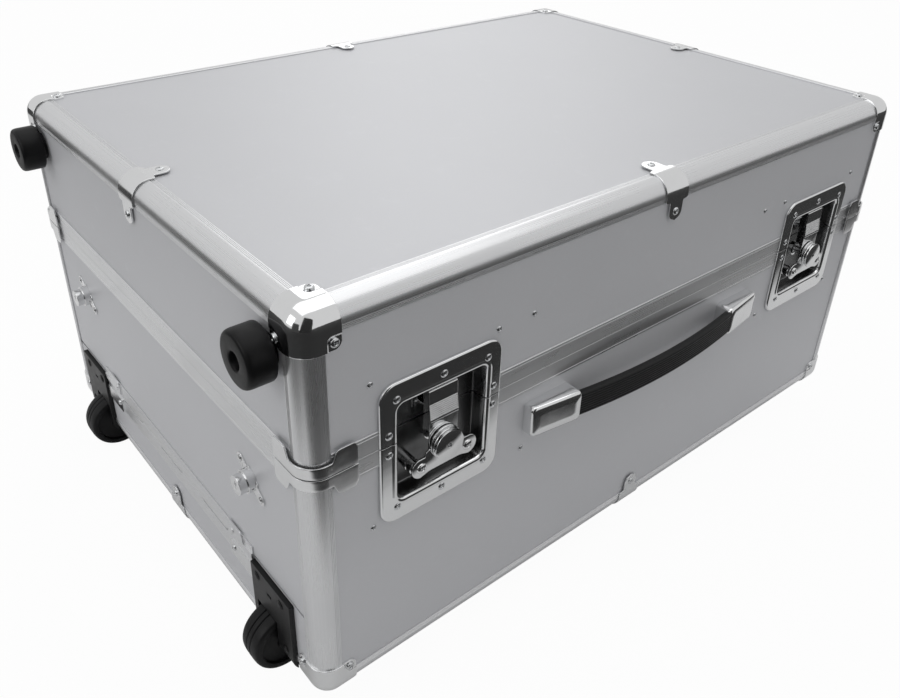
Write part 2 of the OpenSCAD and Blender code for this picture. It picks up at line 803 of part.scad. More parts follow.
module latch_keeper() translate([0, -half_d, 0]) {
    translate([-keeper_w / 2 - 7, dish_depth - latch_t, lip_top - 7])
        cube([keeper_w + 14, latch_t, 17]);
    translate([-keeper_w / 2, lip_in, lip_top - 7]) cube([keeper_w, dish_depth - lip_in, latch_t]);
    translate([-keeper_w / 2, lip_in, lip_top - 7]) cube([keeper_w, latch_t, 7]);
    for (sx = [-1, 1]) translate([sx * (keeper_w / 2 + 3.5), dish_depth - latch_t, lip_top + 4])
        rotate([90, 0, 0]) rivet(2.4, 1);
}

module latch_keepers() color(chrome) placed() at_latches() latch_keeper();

// Hook in its released place: front plate, side cheeks, roof and claw.
module latch_hook() translate([0, -half_d, 0]) difference() {
    union() {
        translate([-hook_w / 2, hook_front, hook_low])
            cube([hook_w, latch_t, hook_top - hook_low]);
        for (sx = [0, 1]) mirror([sx, 0, 0]) translate([hook_w / 2 - latch_t, hook_front, split_z - 4])
            cube([latch_t, claw_in - hook_front, hook_top - split_z + 4]);
        translate([-hook_w / 2, hook_front, hook_top - latch_t])
            cube([hook_w, claw_in - hook_front, latch_t]);
        translate([-hook_w / 2, claw_in - latch_t, claw_low])
            cube([hook_w, latch_t, hook_top - claw_low]);
    }
    // slot that lets the hook pass the spindle
    for (z = [0, hook_lift]) translate([0, hook_front - over, knob_z + z]) rotate([-90, 0, 0])
        cylinder(h = latch_t + 2 * over, r = spindle_r + 0.5);
    translate([-spindle_r - 0.5, hook_front - over, knob_z])
        cube([2 * spindle_r + 1, latch_t + 2 * over, hook_lift]);
}

module left_latch_hook() color(chrome) placed() translate([-latch_mid, 0, 0]) latch_hook();
module right_latch_hook() color(chrome) placed() translate([latch_mid, 0, 0]) latch_hook();

// Wing outline in the plane of the case face, the knob's axis at the origin.
module wing_outline() {
    circle(knob_r + 1.5);
    for (sx = [-1, 1]) {
        translate([sx * lobe_x, -lobe_z]) circle(lobe_r);
        rotate(sx > 0 ? -atan2(lobe_z, lobe_x) : 180 + atan2(lobe_z, lobe_x))
            translate([0, -lobe_r]) square([norm([lobe_x, lobe_z]), 2 * lobe_r]);
    }
    translate([-lobe_x, -lobe_z - lobe_r * 0.55]) square([2 * lobe_x, lobe_z]);
}

module latch_knob() translate([0, -half_d, knob_z]) rotate([90, 0, 0]) {
    // spindle from the bush to the wing
    translate([0, 0, -dish_depth + 0.3]) cylinder(h = dish_depth - 0.3 + wing_out - latch_t, r = spindle_r);
    translate([0, 0, wing_out - latch_t]) linear_extrude(latch_t) wing_outline();
    difference() {
        union() {
            translate([0, 0, wing_out]) cylinder(h = knob_h * 0.35, r = knob_r);
            translate([0, 0, wing_out + knob_h * 0.35]) cylinder(h = knob_h * 0.3, r = knob_r * 0.93);
            translate([0, 0, wing_out + knob_h * 0.65]) cylinder(h = knob_h * 0.35, r = knob_r * 0.98);
        }
        translate([0, 0, wing_out + knob_h - 2]) cylinder(h = 2 + over, r = 1.4);
    }
    for (sx = [-1, 1]) translate([sx * lobe_x, -lobe_z, wing_out]) rivet(4, 1);
}

module left_latch_knob() color(chrome) placed() translate([-latch_mid, 0, 0]) latch_knob();
module right_latch_knob() color(chrome) placed() translate([latch_mid, 0, 0]) latch_knob();

// ---- carry handle ----------------------------------------------------------

carry_z = split_z - carry_drop;
carry_in = carry_w / 2 - carry_block_w;           // inner end of a block
carry_face = carry_block_d + carry_block_rise;    // block's depth at its inner end
grip_half = carry_in + 6;                         // the grip enters the blocks
grip_r = (grip_half * grip_half + grip_bow * grip_bow) / (2 * grip_bow);

// Bowed strip of thickness t round the grip's middle line.
module grip_plan(t) intersection() {
    translate([0, carry_face - grip_t / 2 - 1 + grip_bow - grip_r]) difference() {
        circle(grip_r + t / 2, $fn = 360);
        circle(grip_r - t / 2, $fn = 360);
    }
    translate([-grip_half, 0]) square([2 * grip_half, carry_face + 2 * grip_bow]);
}

// Handle plans lie in x and y outwards; this stands them on the front panel.
module on_panel(h) translate([0, -half_d + panel_inset, carry_z - h / 2]) mirror([0, 1, 0])
    linear_extrude(h) children();

module carry_handle_ends() color(chrome) placed() translate([carry_shift, 0, 0]) left_and_right()
    difference() {
        on_panel(carry_block_h) polygon([[carry_in, 0], [carry_w / 2, 0],
            [carry_w / 2, carry_block_d - 3], [carry_w / 2 - 3, carry_block_d],
            [carry_in + 3, carry_face], [carry_in, carry_face]]);
        on_panel(grip_h + 0.2) grip_plan(grip_t + 0.2);
    }

module carry_handle_grip() color(black) placed() translate([carry_shift, 0, 0])
    on_panel(grip_h) grip_plan(grip_t);

// ---- wheels and feet -------------------------------------------------------

// Space the two housings take, grown by gap.
module wheel_pockets(gap) front_and_back()
    translate([-half_w - over, -half_d + wheel_y - well_w / 2 - well_wall - gap, -over])
        cube([pocket_x + over + gap, well_w + 2 * well_wall + 2 * gap, pocket_x + over + gap]);

// What the case itself fills behind a housing plate.
module case_skin() {
    rounded_quadrant(edge_leg, edge_r);
    translate([panel_inset, panel_inset]) square(plate_h + over);
}

// Front housing: bent plate over the edge, and the box round the wheel.
module wheel_housing() translate([-half_w, -half_d + wheel_y, 0]) difference() {
    union() {
        translate([0, plate_out - wheel_y, 0]) rotate([90, 0, 0]) linear_extrude(plate_w) difference() {
            translate([-plate_t, -plate_t]) rounded_quadrant(plate_h + plate_t, edge_r + plate_t);
            case_skin();
        }
        translate([0, well_w / 2 + well_wall, 0]) rotate([90, 0, 0])
            linear_extrude(well_w + 2 * well_wall) rounded_quadrant(pocket_x, edge_r);
    }
    translate([wheel_c, well_w / 2, wheel_c]) rotate([90, 0, 0]) cylinder(h = well_w, r = well_r);
    // open the well through the plate on both faces
    translate([-plate_t - over, -well_w / 2, -plate_t - over])
        cube([wheel_c + plate_t + over, well_w, wheel_c + plate_t + over]);
    translate([wheel_c, plate_w, wheel_c]) rotate([90, 0, 0])
        cylinder(h = 2 * plate_w, r = axle_r + axle_gap);
    // small drain slot under the upper screws
    translate([-plate_t - over, -9, plate_h - 16]) cube([plate_t + panel_inset + over, 6, 2.5]);
}

module housing_screws() translate([-half_w, -half_d, 0]) {
    for (y = [plate_edge + 13, plate_out - 9]) {
        translate([-plate_t, y, plate_h - 8]) rotate([0, -90, 0]) rivet(3.6);
        translate([plate_h - 8, y, -plate_t]) rotate([180, 0, 0]) rivet(3.6);
    }
    translate([-plate_t, plate_edge + 10, edge_leg]) rotate([0, -90, 0]) rivet(3);
}

module wheel_housings() color(black) placed() front_and_back() {
    wheel_housing();
    housing_screws();
}

module wheel_axles() color(steel) placed() front_and_back()
    translate([-half_w + wheel_c, -half_d + wheel_y + well_w / 2 + well_wall, wheel_c])
        rotate([90, 0, 0]) cylinder(h = well_w + 2 * well_wall, r = axle_r);

// Tyre with rounded shoulders on a spoked hub, turned about its axle.
module wheel() rotate([90, 0, 0]) difference() {
    rotate_extrude($fn = 72) difference() {
        union() {
            translate([axle_r + axle_gap, -wheel_w / 2]) square([wheel_r - axle_r - axle_gap - 2, wheel_w]);
            translate([axle_r + axle_gap, -wheel_w / 2 + 2]) square([wheel_r - axle_r - axle_gap, wheel_w - 4]);
            for (s = [-1, 1]) translate([wheel_r - 2, s * (wheel_w / 2 - 2)]) circle(2);
        }
        // shallow dish on both sides between hub and tyre
        for (s = [-1, 1]) translate([axle_r + 4, s > 0 ? wheel_w / 2 - 2.5 : -wheel_w / 2 - over])
            square([wheel_r - axle_r - 9, 2.5 + over]);
    }
}

module wheel_at() translate([-half_w + wheel_c, -half_d + wheel_y, wheel_c]) wheel();
module front_wheel() color(black) placed() wheel_at();
module back_wheel() color(black) placed() mirror([0, 1, 0]) wheel_at();

// A foot's neck stands on the panel beside a corner cap's ear, and its body passes over the rivet.
foot_clear = 0.5;
foot_neck_h = fitting_t + rivet_h + foot_clear;
cap_round = cap_reach - cap_ear_r;
foot_neck_r = min(foot_r, norm([foot_edge - cap_round, foot_top - cap_round]) - cap_ear_r - foot_clear);
foot_recess = 9;

// Rubber foot over the plane z = 0, with a recess that shows its screw.
module rubber_foot() difference() {
    union() {
        translate([0, 0, -panel_inset]) cylinder(h = foot_neck_h + panel_inset + over, r = foot_neck_r);
        translate([0, 0, foot_neck_h]) cylinder(h = foot_h - foot_neck_h - 2, r = foot_r);
        translate([0, 0, foot_h - 2]) cylinder(h = 2, r1 = foot_r, r2 = foot_r - 2);
    }
    translate([0, 0, foot_h - foot_recess]) cylinder(h = foot_recess + over, r = foot_bore);
}

// Screw head at the bottom of the recess.
module foot_screw() translate([0, 0, foot_h - foot_recess]) cylinder(h = 3, r = foot_bore - 1.5);

module lid_foot_places() front_and_back()
    translate([-half_w, -half_d + foot_edge, case_h - foot_top]) rotate([0, -90, 0]) children();
module under_foot_places() front_and_back()
    translate([half_w - under_foot_edge, -half_d + under_foot_edge, 0]) mirror([0, 0, 1]) children();

module lid_feet() color(rubber) placed() lid_foot_places() rubber_foot();
module under_feet() color(rubber) placed() under_foot_places() rubber_foot();

// ---- service door ----------------------------------------------------------

door_half = half_d - edge_leg - door_gap;
door_top = body_top - band_h - door_gap;
rail_from = door_knuckle_r + 0.4;                 // first solid height beside the axis
knuckle_count = 7;
door_knuckle_w = 2 * sill_half / knuckle_count;

// Rail above the hinge line on the left end; the sill is its mirror image.
module rail() translate([-half_w, sill_half, door_z]) rotate([90, 0, 0]) linear_extrude(2 * sill_half) {
    translate([0, rail_from]) square([panel_inset, rail_h - rail_from]);
}

// Every second knuckle, starting with the first or the second.
module door_knuckles(first) for (i = [first:2:knuckle_count - 1])
    translate([-half_w + door_knuckle_r, sill_half - i * door_knuckle_w - knuckle_gap / 2, door_z])
        rotate([90, 0, 0]) difference() {
            union() {
                cylinder(h = door_knuckle_w - knuckle_gap, r = door_knuckle_r);
                translate([-door_knuckle_r, 0, 0])
                    cube([2 * door_knuckle_r, rail_from + 0.5, door_knuckle_w - knuckle_gap]);
            }
            translate([0, 0, -over]) cylinder(h = door_knuckle_w + 2 * over, r = door_pin_r + door_pin_gap);
        }

module door_rail() color(silver) placed() {
    rail();
    door_knuckles(1);
    front_and_back() sill_bracket();
    front_and_back() sill_bracket_rivets();
}

module sill_rail() color(silver) placed() translate([0, 0, 2 * door_z]) mirror([0, 0, 1]) {
    rail();
    door_knuckles(0);
}

module door_hinge_pin() color(steel) placed()
    translate([-half_w + door_knuckle_r, sill_half, door_z]) rotate([90, 0, 0])
        cylinder(h = 2 * sill_half, r = door_pin_r);

module door_panel() color(silver) placed() difference() {
    translate([-half_w + panel_inset, -door_half, door_z + rail_from + 0.5])
        cube([panel_t, 2 * door_half, door_top - door_z - rail_from - 0.5]);
    // corners stop above the wheel housings
    front_and_back() translate([-half_w, -half_d, 0])
        cube([panel_t + 2 * panel_inset, half_d - sill_half, door_low]);
    for (s = [-1, 1]) lock_at(s) translate([0, 0, -skin_in - over])
        cylinder(h = panel_t + 2 * over, r = barrel_r);
}

// Push locks: the child's z stands out of the end face. Both flanges tilt the same way.
module lock_at(side) translate([-half_w, side * (half_d - lock_y), door_z + lock_rise])
    rotate([90, 0, -90]) children();

lock_back = -skin_in - 10;                         // inner end of the barrel
head_low = lock_back + 2 + button_travel + 1;      // inner end of the button's head

module lock_barrel() difference() {
    union() {
        translate([0, 0, -panel_inset]) linear_extrude(fitting_t) rotate(-lock_tilt) {
            square(barrel_r * 1.75, center = true);
            square([lock_screw_pitch, 9], center = true);
            for (s = [-1, 1]) translate([s * lock_screw_pitch / 2, 0]) circle(4.5);
        }
        translate([0, 0, lock_back]) cylinder(h = collar_h - lock_back, r = barrel_r);
        for (s = [-1, 1]) rotate(-lock_tilt) translate([s * lock_screw_pitch / 2, 0, fitting_t - panel_inset])
            rivet(2.6, 1);
    }
    translate([0, 0, lock_back + 2]) cylinder(h = collar_h - lock_back, r = button_r + button_gap);
    translate([0, 0, lock_back - over]) cylinder(h = 3 + 2 * over, r = lock_pin_r + button_gap);
}

module lock_button() {
    difference() {
        translate([0, 0, head_low]) cylinder(h = collar_h + button_out - head_low, r = button_r);
        translate([-0.6, -2.6, collar_h + button_out - 1.5]) cube([1.2, 5.2, 1.5 + over]);
        translate([0, 2, collar_h + button_out - 1.5]) cylinder(h = 1.5 + over, r = 1.5);
    }
    translate([0, 0, lock_back - 1]) cylinder(h = head_low - lock_back + 2, r = lock_pin_r);
}

module lock_barrels() color(chrome) placed() for (s = [-1, 1]) lock_at(s) lock_barrel();
module front_lock_button() color(chrome) placed() lock_at(-1) lock_button();
module back_lock_button() color(chrome) placed() lock_at(1) lock_button();

// Angle whose hole takes a pushed pin and whose flange is the door's stop.
keeper_t = 3;
keeper_low = door_z + lock_rise - 12;
module lock_keeper(side) translate([-half_w, side * (half_d - lock_y), 0]) difference() {
    union() {
        translate([-lock_back + 1.5, -15, keeper_low])
            cube([keeper_t, 30, deck_z - deck_t - keeper_low]);
        translate([skin_in + 0.2, -15, deck_z - deck_t - keeper_t]) cube([44, 30, keeper_t]);
    }
    translate([0, 0, door_z + lock_rise]) rotate([0, 90, 0]) cylinder(h = bay_d, r = lock_pin_r + lock_pin_gap);
}

// ---- lid hinges ------------------------------------------------------------

hinge_places = [-hinge_x, 0, hinge_x];
knuckles = 5;
knuckle_w = hinge_w / knuckles;

// Leaf above the split on the back face, with knuckles first, first + 2, ...
module hinge_leaf_at(first) {
    translate([-hinge_w / 2, half_d, knuckle_r + 1])
        cube([hinge_w, fitting_t + 0.6, hinge_leaf - knuckle_r - 1]);
    for (i = [first:2:knuckles - 1]) translate([-hinge_w / 2 + i * knuckle_w + knuckle_gap / 2, 0, 0])
        difference() {
            union() {
                translate([0, hinge_y, 0]) rotate([0, 90, 0])
                    cylinder(h = knuckle_w - knuckle_gap, r = knuckle_r);
                translate([0, half_d + 0.3, 0])
                    cube([knuckle_w - knuckle_gap, fitting_t + 0.3, knuckle_r + 1.01]);
            }
            translate([-over, hinge_y, 0]) rotate([0, 90, 0])
                cylinder(h = knuckle_w + 2 * over, r = hinge_pin_r + hinge_pin_gap);
        }
    for (sx = [-1, 1], k = [0, 1])
        translate([sx * hinge_w * 0.33, half_d + fitting_t + 0.6, knuckle_r + 8 + k * 16])
            rotate([-90, 0, 0]) rivet();
}

module hinge_leaves_lid() color(chrome) placed() translate([0, 0, split_z])
    for (x = hinge_places) translate([x, 0, 0]) hinge_leaf_at(1);
module hinge_leaves_body() color(chrome) placed() translate([0, 0, split_z]) mirror([0, 0, 1])
    for (x = hinge_places) translate([x, 0, 0]) hinge_leaf_at(0);
module lid_hinge_pins() color(steel) placed() for (x = hinge_places)
    translate([x - hinge_w / 2, hinge_y, split_z]) rotate([0, 90, 0]) cylinder(h = hinge_w, r = hinge_pin_r);

// ---- tow handle ------------------------------------------------------------

pocket_w = tow_pitch + 4 * tow_r;
pocket_z = tow_z;

module tow_pocket_cut() translate([half_w - skin_in - pocket_d, -pocket_w / 2, pocket_z - pocket_h / 2])
    cube([pocket_d + skin_in + over, pocket_w, pocket_h]);

module tow_tube_places() for (s = [-1, 1])
    translate([0, s * tow_pitch / 2, tow_z]) rotate([0, 90, 0]) children();

// Bezel and pocket lining, with holes for the fixed tubes.
lining = 2;
module tow_bezel() color(black) placed() difference() {
    union() {
        translate([half_w - skin_in - pocket_d + panel_t, -pocket_w / 2, pocket_z - pocket_h / 2])
            cube([pocket_d + panel_inset, pocket_w, pocket_h]);
        translate([half_w - panel_inset, 0, pocket_z]) rotate([90, 0, 90])
            linear_extrude(bezel_t) rounded_rect(pocket_w + 2 * bezel_rim, pocket_h + 2 * bezel_rim, 8);
    }
    translate([tow_x + lining, -pocket_w / 2 + lining, pocket_z - pocket_h / 2 + lining])
        cube([pocket_d + skin_in, pocket_w - 2 * lining, pocket_h - 2 * lining]);
    tow_tube_places() translate([0, 0, tow_x - over]) cylinder(h = lining + 2 * over, r = tow_r);
}

module tube(r, from, to) translate([0, 0, from]) difference() {
    cylinder(h = to - from, r = r);
    translate([0, 0, -over]) cylinder(h = to - from + 2 * over, r = r - tow_wall);
}

module tow_outer_tubes() color(steel) placed() {
    tow_tube_places() tube(tow_r, tow_x + lining - tow_len, tow_x + lining);
    // saddles that hold the tubes down on the bottom panel
    for (x = [tow_x - tow_len + 30, tow_x - 60], s = [-1, 1])
        translate([x, s * tow_pitch / 2 - tow_r, skin_in]) difference() {
            cube([16, 2 * tow_r, tow_z - skin_in]);
            translate([-over, tow_r, tow_z - skin_in]) rotate([0, 90, 0]) cylinder(h = 20, r = tow_r - 0.01);
        }
}

module tow_middle_tubes() color(steel) placed()
    tow_tube_places() tube(tow_mid_r, tow_x + lining - tow_len + 4, tow_x + lining + 3);

grip_x = half_w + right_out - tow_grip_t - 0.5;
module tow_grip() color(black) placed() {
    tow_tube_places() tube(tow_in_r, tow_x + lining - tow_len + 8, grip_x);
    difference() {
        translate([grip_x, -pocket_w / 2 + lining + 2, tow_z - tow_grip_h / 2])
            cube([tow_grip_t, pocket_w - 2 * lining - 4, tow_grip_h]);
        // finger side of the grip bar, behind it
        translate([grip_x - over, -tow_pitch / 2 + tow_r + 4, tow_z - tow_grip_h])
            cube([tow_grip_t * 0.35 + over, tow_pitch - 2 * tow_r - 8, 2 * tow_grip_h]);
        translate([grip_x + tow_grip_t - tow_button_travel - 4, -tow_button_w / 2 - 0.2, tow_z - 5.2])
            cube([tow_button_travel + 4 + over, tow_button_w + 0.4, 10.4]);
    }
}

module tow_button() color(steel) placed()
    translate([grip_x + tow_grip_t - 3.5, -tow_button_w / 2, tow_z - 5]) cube([3.5, tow_button_w, 10]);

// ---- dental deck -----------------------------------------------------------

deck_gap = 0.5;                                // deck and service panel to what surrounds them
dish_gap = 2;                                  // deck to the latch dishes
bottle_end = 52.8;                             // bottles to the end wall
bottle_back = 12;                              // bottles to the back wall
bottle_gap = 17;                               // between the bottles
bottle_x = [inner_x - bottle_end - bottle_gap - 3 * bottle_r, inner_x - bottle_end - bottle_r];
bottle_y = inner_y - bottle_back - bottle_r;
bottle_top = deck_z + 14;
control_in = 116;
port_in = 89;
rocker_gap = 75;
gauge_gap = 10;
rest_in = 179;
rest_back = 40;
control_y = -half_d + control_in;              // row of controls and hose connectors
port_x = half_w - port_in;
rocker_x = port_x - 2 * port_pitch - rocker_gap;
control_pitch = 55;
port_at = [for (i = [0:2]) [port_x - i * port_pitch, control_y]];
rocker_at = [rocker_x, control_y];
water_at = [rocker_x - control_pitch, control_y];
regulator_at = [rocker_x - 2 * control_pitch, control_y];
gauge_at = [rocker_x - 3 * control_pitch - gauge_gap, control_y];
rest_at = [-half_w + rest_in, rest_back];

// Legs of the edge profiles inside the case, grown by gap.
module profile_legs(gap) {
    four_corners() translate([-half_w, -half_d, 0]) cube([edge_leg + gap, edge_leg + gap, case_h]);
    front_and_back() translate([-half_w, -half_d, 0]) cube([case_w, edge_leg + gap, edge_leg + gap]);
}

module deck_plate() color("#b9bdc4") placed() difference() {
    translate([-inner_x + deck_gap, -inner_y + deck_gap, deck_z - deck_t])
        cube([2 * (inner_x - deck_gap), 2 * (inner_y - deck_gap), deck_t]);
    for (x = bottle_x) translate([x, bottle_y, deck_z - deck_t - over])
        cylinder(h = deck_t + 2 * over, r = bottle_r + 2 * deck_gap);
    profile_legs(deck_gap);
    latch_recesses(dish_gap);
}

// Angles that carry the deck, by their middles along the front and back walls: beside the left
// dish, near the middle, and halfway from the right dish to the upright.
bracket_w = 24;
bracket_d = 20;
bracket_h = 22;
bracket_t = 2;
bracket_off = 117;
bracket_mid = 20;
bracket_x = [bracket_off - latch_mid, bracket_mid, (latch_mid + dish_w / 2 + dish_t + half_w - edge_leg) / 2];

// Angle on the wall y = 0, its top at z = 0.
module deck_angle() translate([-bracket_w / 2, 0, -bracket_h]) difference() {
    cube([bracket_w, bracket_d, bracket_h]);
    translate([-over, bracket_t, -over])
        cube([bracket_w + 2 * over, bracket_d, bracket_h - bracket_t + over]);
}

module deck_brackets() color(steel) placed() {
    translate([0, 0, deck_z - deck_t]) {
        for (x = bracket_x) front_and_back() translate([x, -inner_y, 0]) deck_angle();
        translate([inner_x, 0, 0]) rotate(90) deck_angle();
    }
    for (s = [-1, 1]) lock_keeper(s);
}

// Upright panel at the back of the door bay, with the mains inlet's hole and vent slots.
service_t = 2;
inlet_w = 28;
inlet_h = 22;
inlet_z = 100;
vent_count = 6;
vent_len = 70;
vent_w = 4;
vent_pitch = 9;
module service_panel() color(steel) placed() difference() {
    translate([bay_x - service_t, -inner_y + deck_gap, skin_in])
        cube([service_t, 2 * (inner_y - deck_gap), deck_z - deck_t - skin_in]);
    translate([bay_x - service_t - over, -inlet_w / 2, inlet_z])
        cube([service_t + 2 * over, inlet_w, inlet_h]);
    for (i = [0:1:vent_count - 1]) translate([bay_x - service_t - over, 60, 90 + i * vent_pitch])
        cube([service_t + 2 * over, vent_len, vent_w]);
    profile_legs(deck_gap);
    latch_recesses(deck_gap);
}

// Oil-free compressor on a base plate: motor on its saddle, crankcase and finned cylinder.
comp_x = 10;
comp_t = 6;
comp_lap = 1;                                  // how far what stands on the plate enters it
motor_low = 16;
saddle_h = 20;
crank_w = 60;
crank_d = 80;
crank_h = 70;
fin_t = 4;
fin_pitch = 9;
fin_count = 5;
motor_from = -comp_w / 2 + 15;
crank_from = motor_from + motor_w;
crank_top = comp_t - comp_lap + crank_h;
module compressor() color("#3b3f45") placed() translate([comp_x, 0, skin_in]) {
    translate([-comp_w / 2, -comp_d / 2, 0]) cube([comp_w, comp_d, comp_t]);
    translate([motor_from, 0, motor_low + motor_r]) rotate([0, 90, 0]) cylinder(h = motor_w, r = motor_r);
    translate([motor_from, -crank_w / 2, comp_t - comp_lap]) cube([motor_w, crank_w, saddle_h]);
    translate([crank_from, -crank_d / 2, comp_t - comp_lap]) cube([crank_w, crank_d, crank_h]);
    for (i = [0:1:fin_count - 1]) translate([crank_from + 3, 10 - crank_d / 2, crank_top + 3 + i * fin_pitch])
        cube([crank_w - 6, crank_d - 20, fin_t]);
    translate([crank_from + crank_w / 4, -crank_d / 4, crank_top - 5])
        cube([crank_w / 2, crank_d / 2, fin_count * fin_pitch + 5]);
}

bottle_tall = bottle_top - skin_in;
bottle_shoulder = 46;                          // below the top, where the neck's cone starts
bottle_neck_h = 24;
cap_wall = 4;
cap_h = 16;
cap_fit = 0.1;                                 // cap over the neck
bottle_neck = bottle_cap_r - cap_wall;

// Half section of a bottle, shrunk by inset.
module bottle_section(inset) polygon([[0, inset], [bottle_r - inset, inset],
    [bottle_r - inset, bottle_tall - bottle_shoulder], [bottle_neck - inset, bottle_tall - bottle_neck_h],
    [bottle_neck - inset, bottle_tall + inset], [0, bottle_tall + inset]]);

// Hollow bottle standing on the bottom panel.
module bottle(x) translate([x, bottle_y, skin_in]) rotate_extrude($fn = 72) difference() {
    bottle_section(0);
    bottle_section(bottle_wall);
}

module clean_water_bottle() color("#cfe6f5") placed() bottle(bottle_x[0]);
module waste_bottle() color("#e8dfc8") placed() bottle(bottle_x[1]);

module bottle_caps() color("#2f6fb5") placed() for (x = bottle_x)
    translate([x, bottle_y, bottle_top + 2 - cap_h]) difference() {
        cylinder(h = cap_h, r = bottle_cap_r);
        translate([0, 0, -over]) cylinder(h = cap_h - 2 + over, r = bottle_neck + cap_fit);
    }

// Rack with U notches for handpieces.
rest_t = 4;
rest_bar = 6;
notch_count = 4;
notch_pitch = 45;
notch_r = 11;
rest_end = 5;
module instrument_rest() color(plastic) placed() translate([rest_at[0], rest_at[1], deck_z]) difference() {
    union() {
        translate([-rest_w / 2, -rest_len / 2, 0]) cube([rest_w, rest_len, rest_t]);
        left_and_right() translate([rest_w / 2 - rest_t - rest_bar, rest_end - rest_len / 2, 0])
            cube([rest_bar, rest_len - 2 * rest_end, rest_h]);
    }
    for (i = [0:1:notch_count - 1]) translate([-rest_w, (i - (notch_count - 1) / 2) * notch_pitch, rest_h])
        rotate([0, 90, 0]) cylinder(h = 2 * rest_w, r = notch_r);
}

port_nut_r = 9;
port_nut_h = 4;
module hose_ports() color(chrome) placed() for (p = port_at) translate([p[0], p[1], deck_z]) {
    cylinder(h = port_nut_h, r = port_nut_r, $fn = 6);
    cylinder(h = port_nut_h + port_len, r = port_r);
}

gauge_h = 9;
gauge_rim = 2.5;
dial_h = 6;                                    // height of the dial's face
needle_w = 1.2;
module pressure_gauge() color(plastic) placed() translate([gauge_at[0], gauge_at[1], deck_z]) {
    difference() {
        cylinder(h = gauge_h, r = gauge_r);
        translate([0, 0, dial_h]) cylinder(h = gauge_h, r = gauge_r - gauge_rim);
    }
    translate([0, 0, dial_h - 0.5]) cylinder(h = 2, r = 2.5 * needle_w);
    rotate(225) translate([0, -needle_w / 2, dial_h]) cube([gauge_r - 7, needle_w, 1]);
}

// A control knob with a blind bore for its shaft.
knob_lift = 2.5;
knob_roof = 4;                                 // solid above the bore
regulator_h = 16;
water_h = 14;
module control_knob(at, r, h) translate([at[0], at[1], deck_z + knob_lift]) difference() {
    union() {
        cylinder(h = h, r = r);
        translate([0, 0, h]) cylinder(h = 2, r1 = r, r2 = r - 2);
    }
    for (a = [0:30:330]) rotate(a) translate([r + 0.6, 0, 3]) cylinder(h = h, r = 1.6);
    translate([r * 0.35, -0.7, h + 1]) cube([r * 0.5, 1.4, 2]);
    translate([0, 0, -over]) cylinder(h = h - knob_roof + over, r = shaft_r + shaft_gap);
}

module regulator_knob() color(black) placed() control_knob(regulator_at, regulator_r, regulator_h);
module water_knob() color("#2f6fb5") placed() control_knob(water_at, water_r, water_h);

// Dial plate with a knob's shaft.
module dial_plate(at, r, h) translate([at[0], at[1], deck_z]) {
    cylinder(h = 2, r = r + 5);
    cylinder(h = knob_lift + h - knob_roof - 1, r = shaft_r);
}

// The knobs' plates, and the rocker's frame with its pin.
rocker_pivot = 5;
rocker_d = 15;
module control_bezels() color(plastic) placed() {
    dial_plate(regulator_at, regulator_r, regulator_h);
    dial_plate(water_at, water_r, water_h);
    translate([rocker_at[0], rocker_at[1], deck_z]) {
        linear_extrude(rocker_pivot + 1.5) difference() {
            square([rocker_w + 8, rocker_d + 8], center = true);
            square([rocker_w + 3, rocker_d + 1], center = true);
        }
        translate([0, rocker_d / 2 + 2, rocker_pivot]) rotate([90, 0, 0]) cylinder(h = rocker_d + 4, r = 1);
    }
}

// Rocker in its first position, the right end up.
module power_rocker() color("#2a8a3a") placed() translate([rocker_at[0], rocker_at[1], deck_z + rocker_pivot])
    rotate([90, -rocker_swing / 2, 0]) translate([0, 0, -rocker_d / 2]) linear_extrude(rocker_d) difference() {
        polygon([[-rocker_w / 2, -1], [-2.5, -2.5], [2.5, -2.5], [rocker_w / 2, -1],
            [rocker_w / 2, 5], [0, 2.6], [-rocker_w / 2, 5]]);
        circle(1 + shaft_gap);
    }

body_wall_panels();
bottom_panel();
body_edge_profiles();
body_corner_caps();
body_split_band();
sill_rail();
body_ring_brackets();
body_saddle_clips();
body_rivets();
latch_dishes_lower();
wheel_housings();
wheel_axles();
under_feet();
carry_handle_ends();
carry_handle_grip();
hinge_leaves_body();
lid_hinge_pins();
door_hinge_pin();
tow_bezel();
tow_outer_tubes();
deck_plate();
deck_brackets();
service_panel();
control_bezels();
compressor();
clean_water_bottle();
waste_bottle();
bottle_caps();
instrument_rest();
hose_ports();
pressure_gauge();
lid_top_panel();
lid_wall_panels();
lid_edge_profiles();
lid_corner_caps();
lid_split_band();
lid_ring_brackets();
lid_saddle_clips();
lid_rivets();
latch_dishes_upper();
latch_keepers();
lid_feet();
hinge_leaves_lid();
left_latch_knob();
right_latch_knob();
left_latch_hook();
right_latch_hook();
front_wheel();
back_wheel();
door_panel();
door_rail();
lock_barrels();
front_lock_button();
back_lock_button();
tow_middle_tubes();
tow_grip();
tow_button();
regulator_knob();
water_knob();
power_rocker();
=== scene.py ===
"""Dresses the packed portable dental unit, a wheeled aluminium flight case with a deck inside.

Shapes are worked out in millimetres from the corner, face or axis they belong to, and put
into the frame's metres at the end. The case's own sizes come from the frame's nodes.
"""
import math
from types import SimpleNamespace

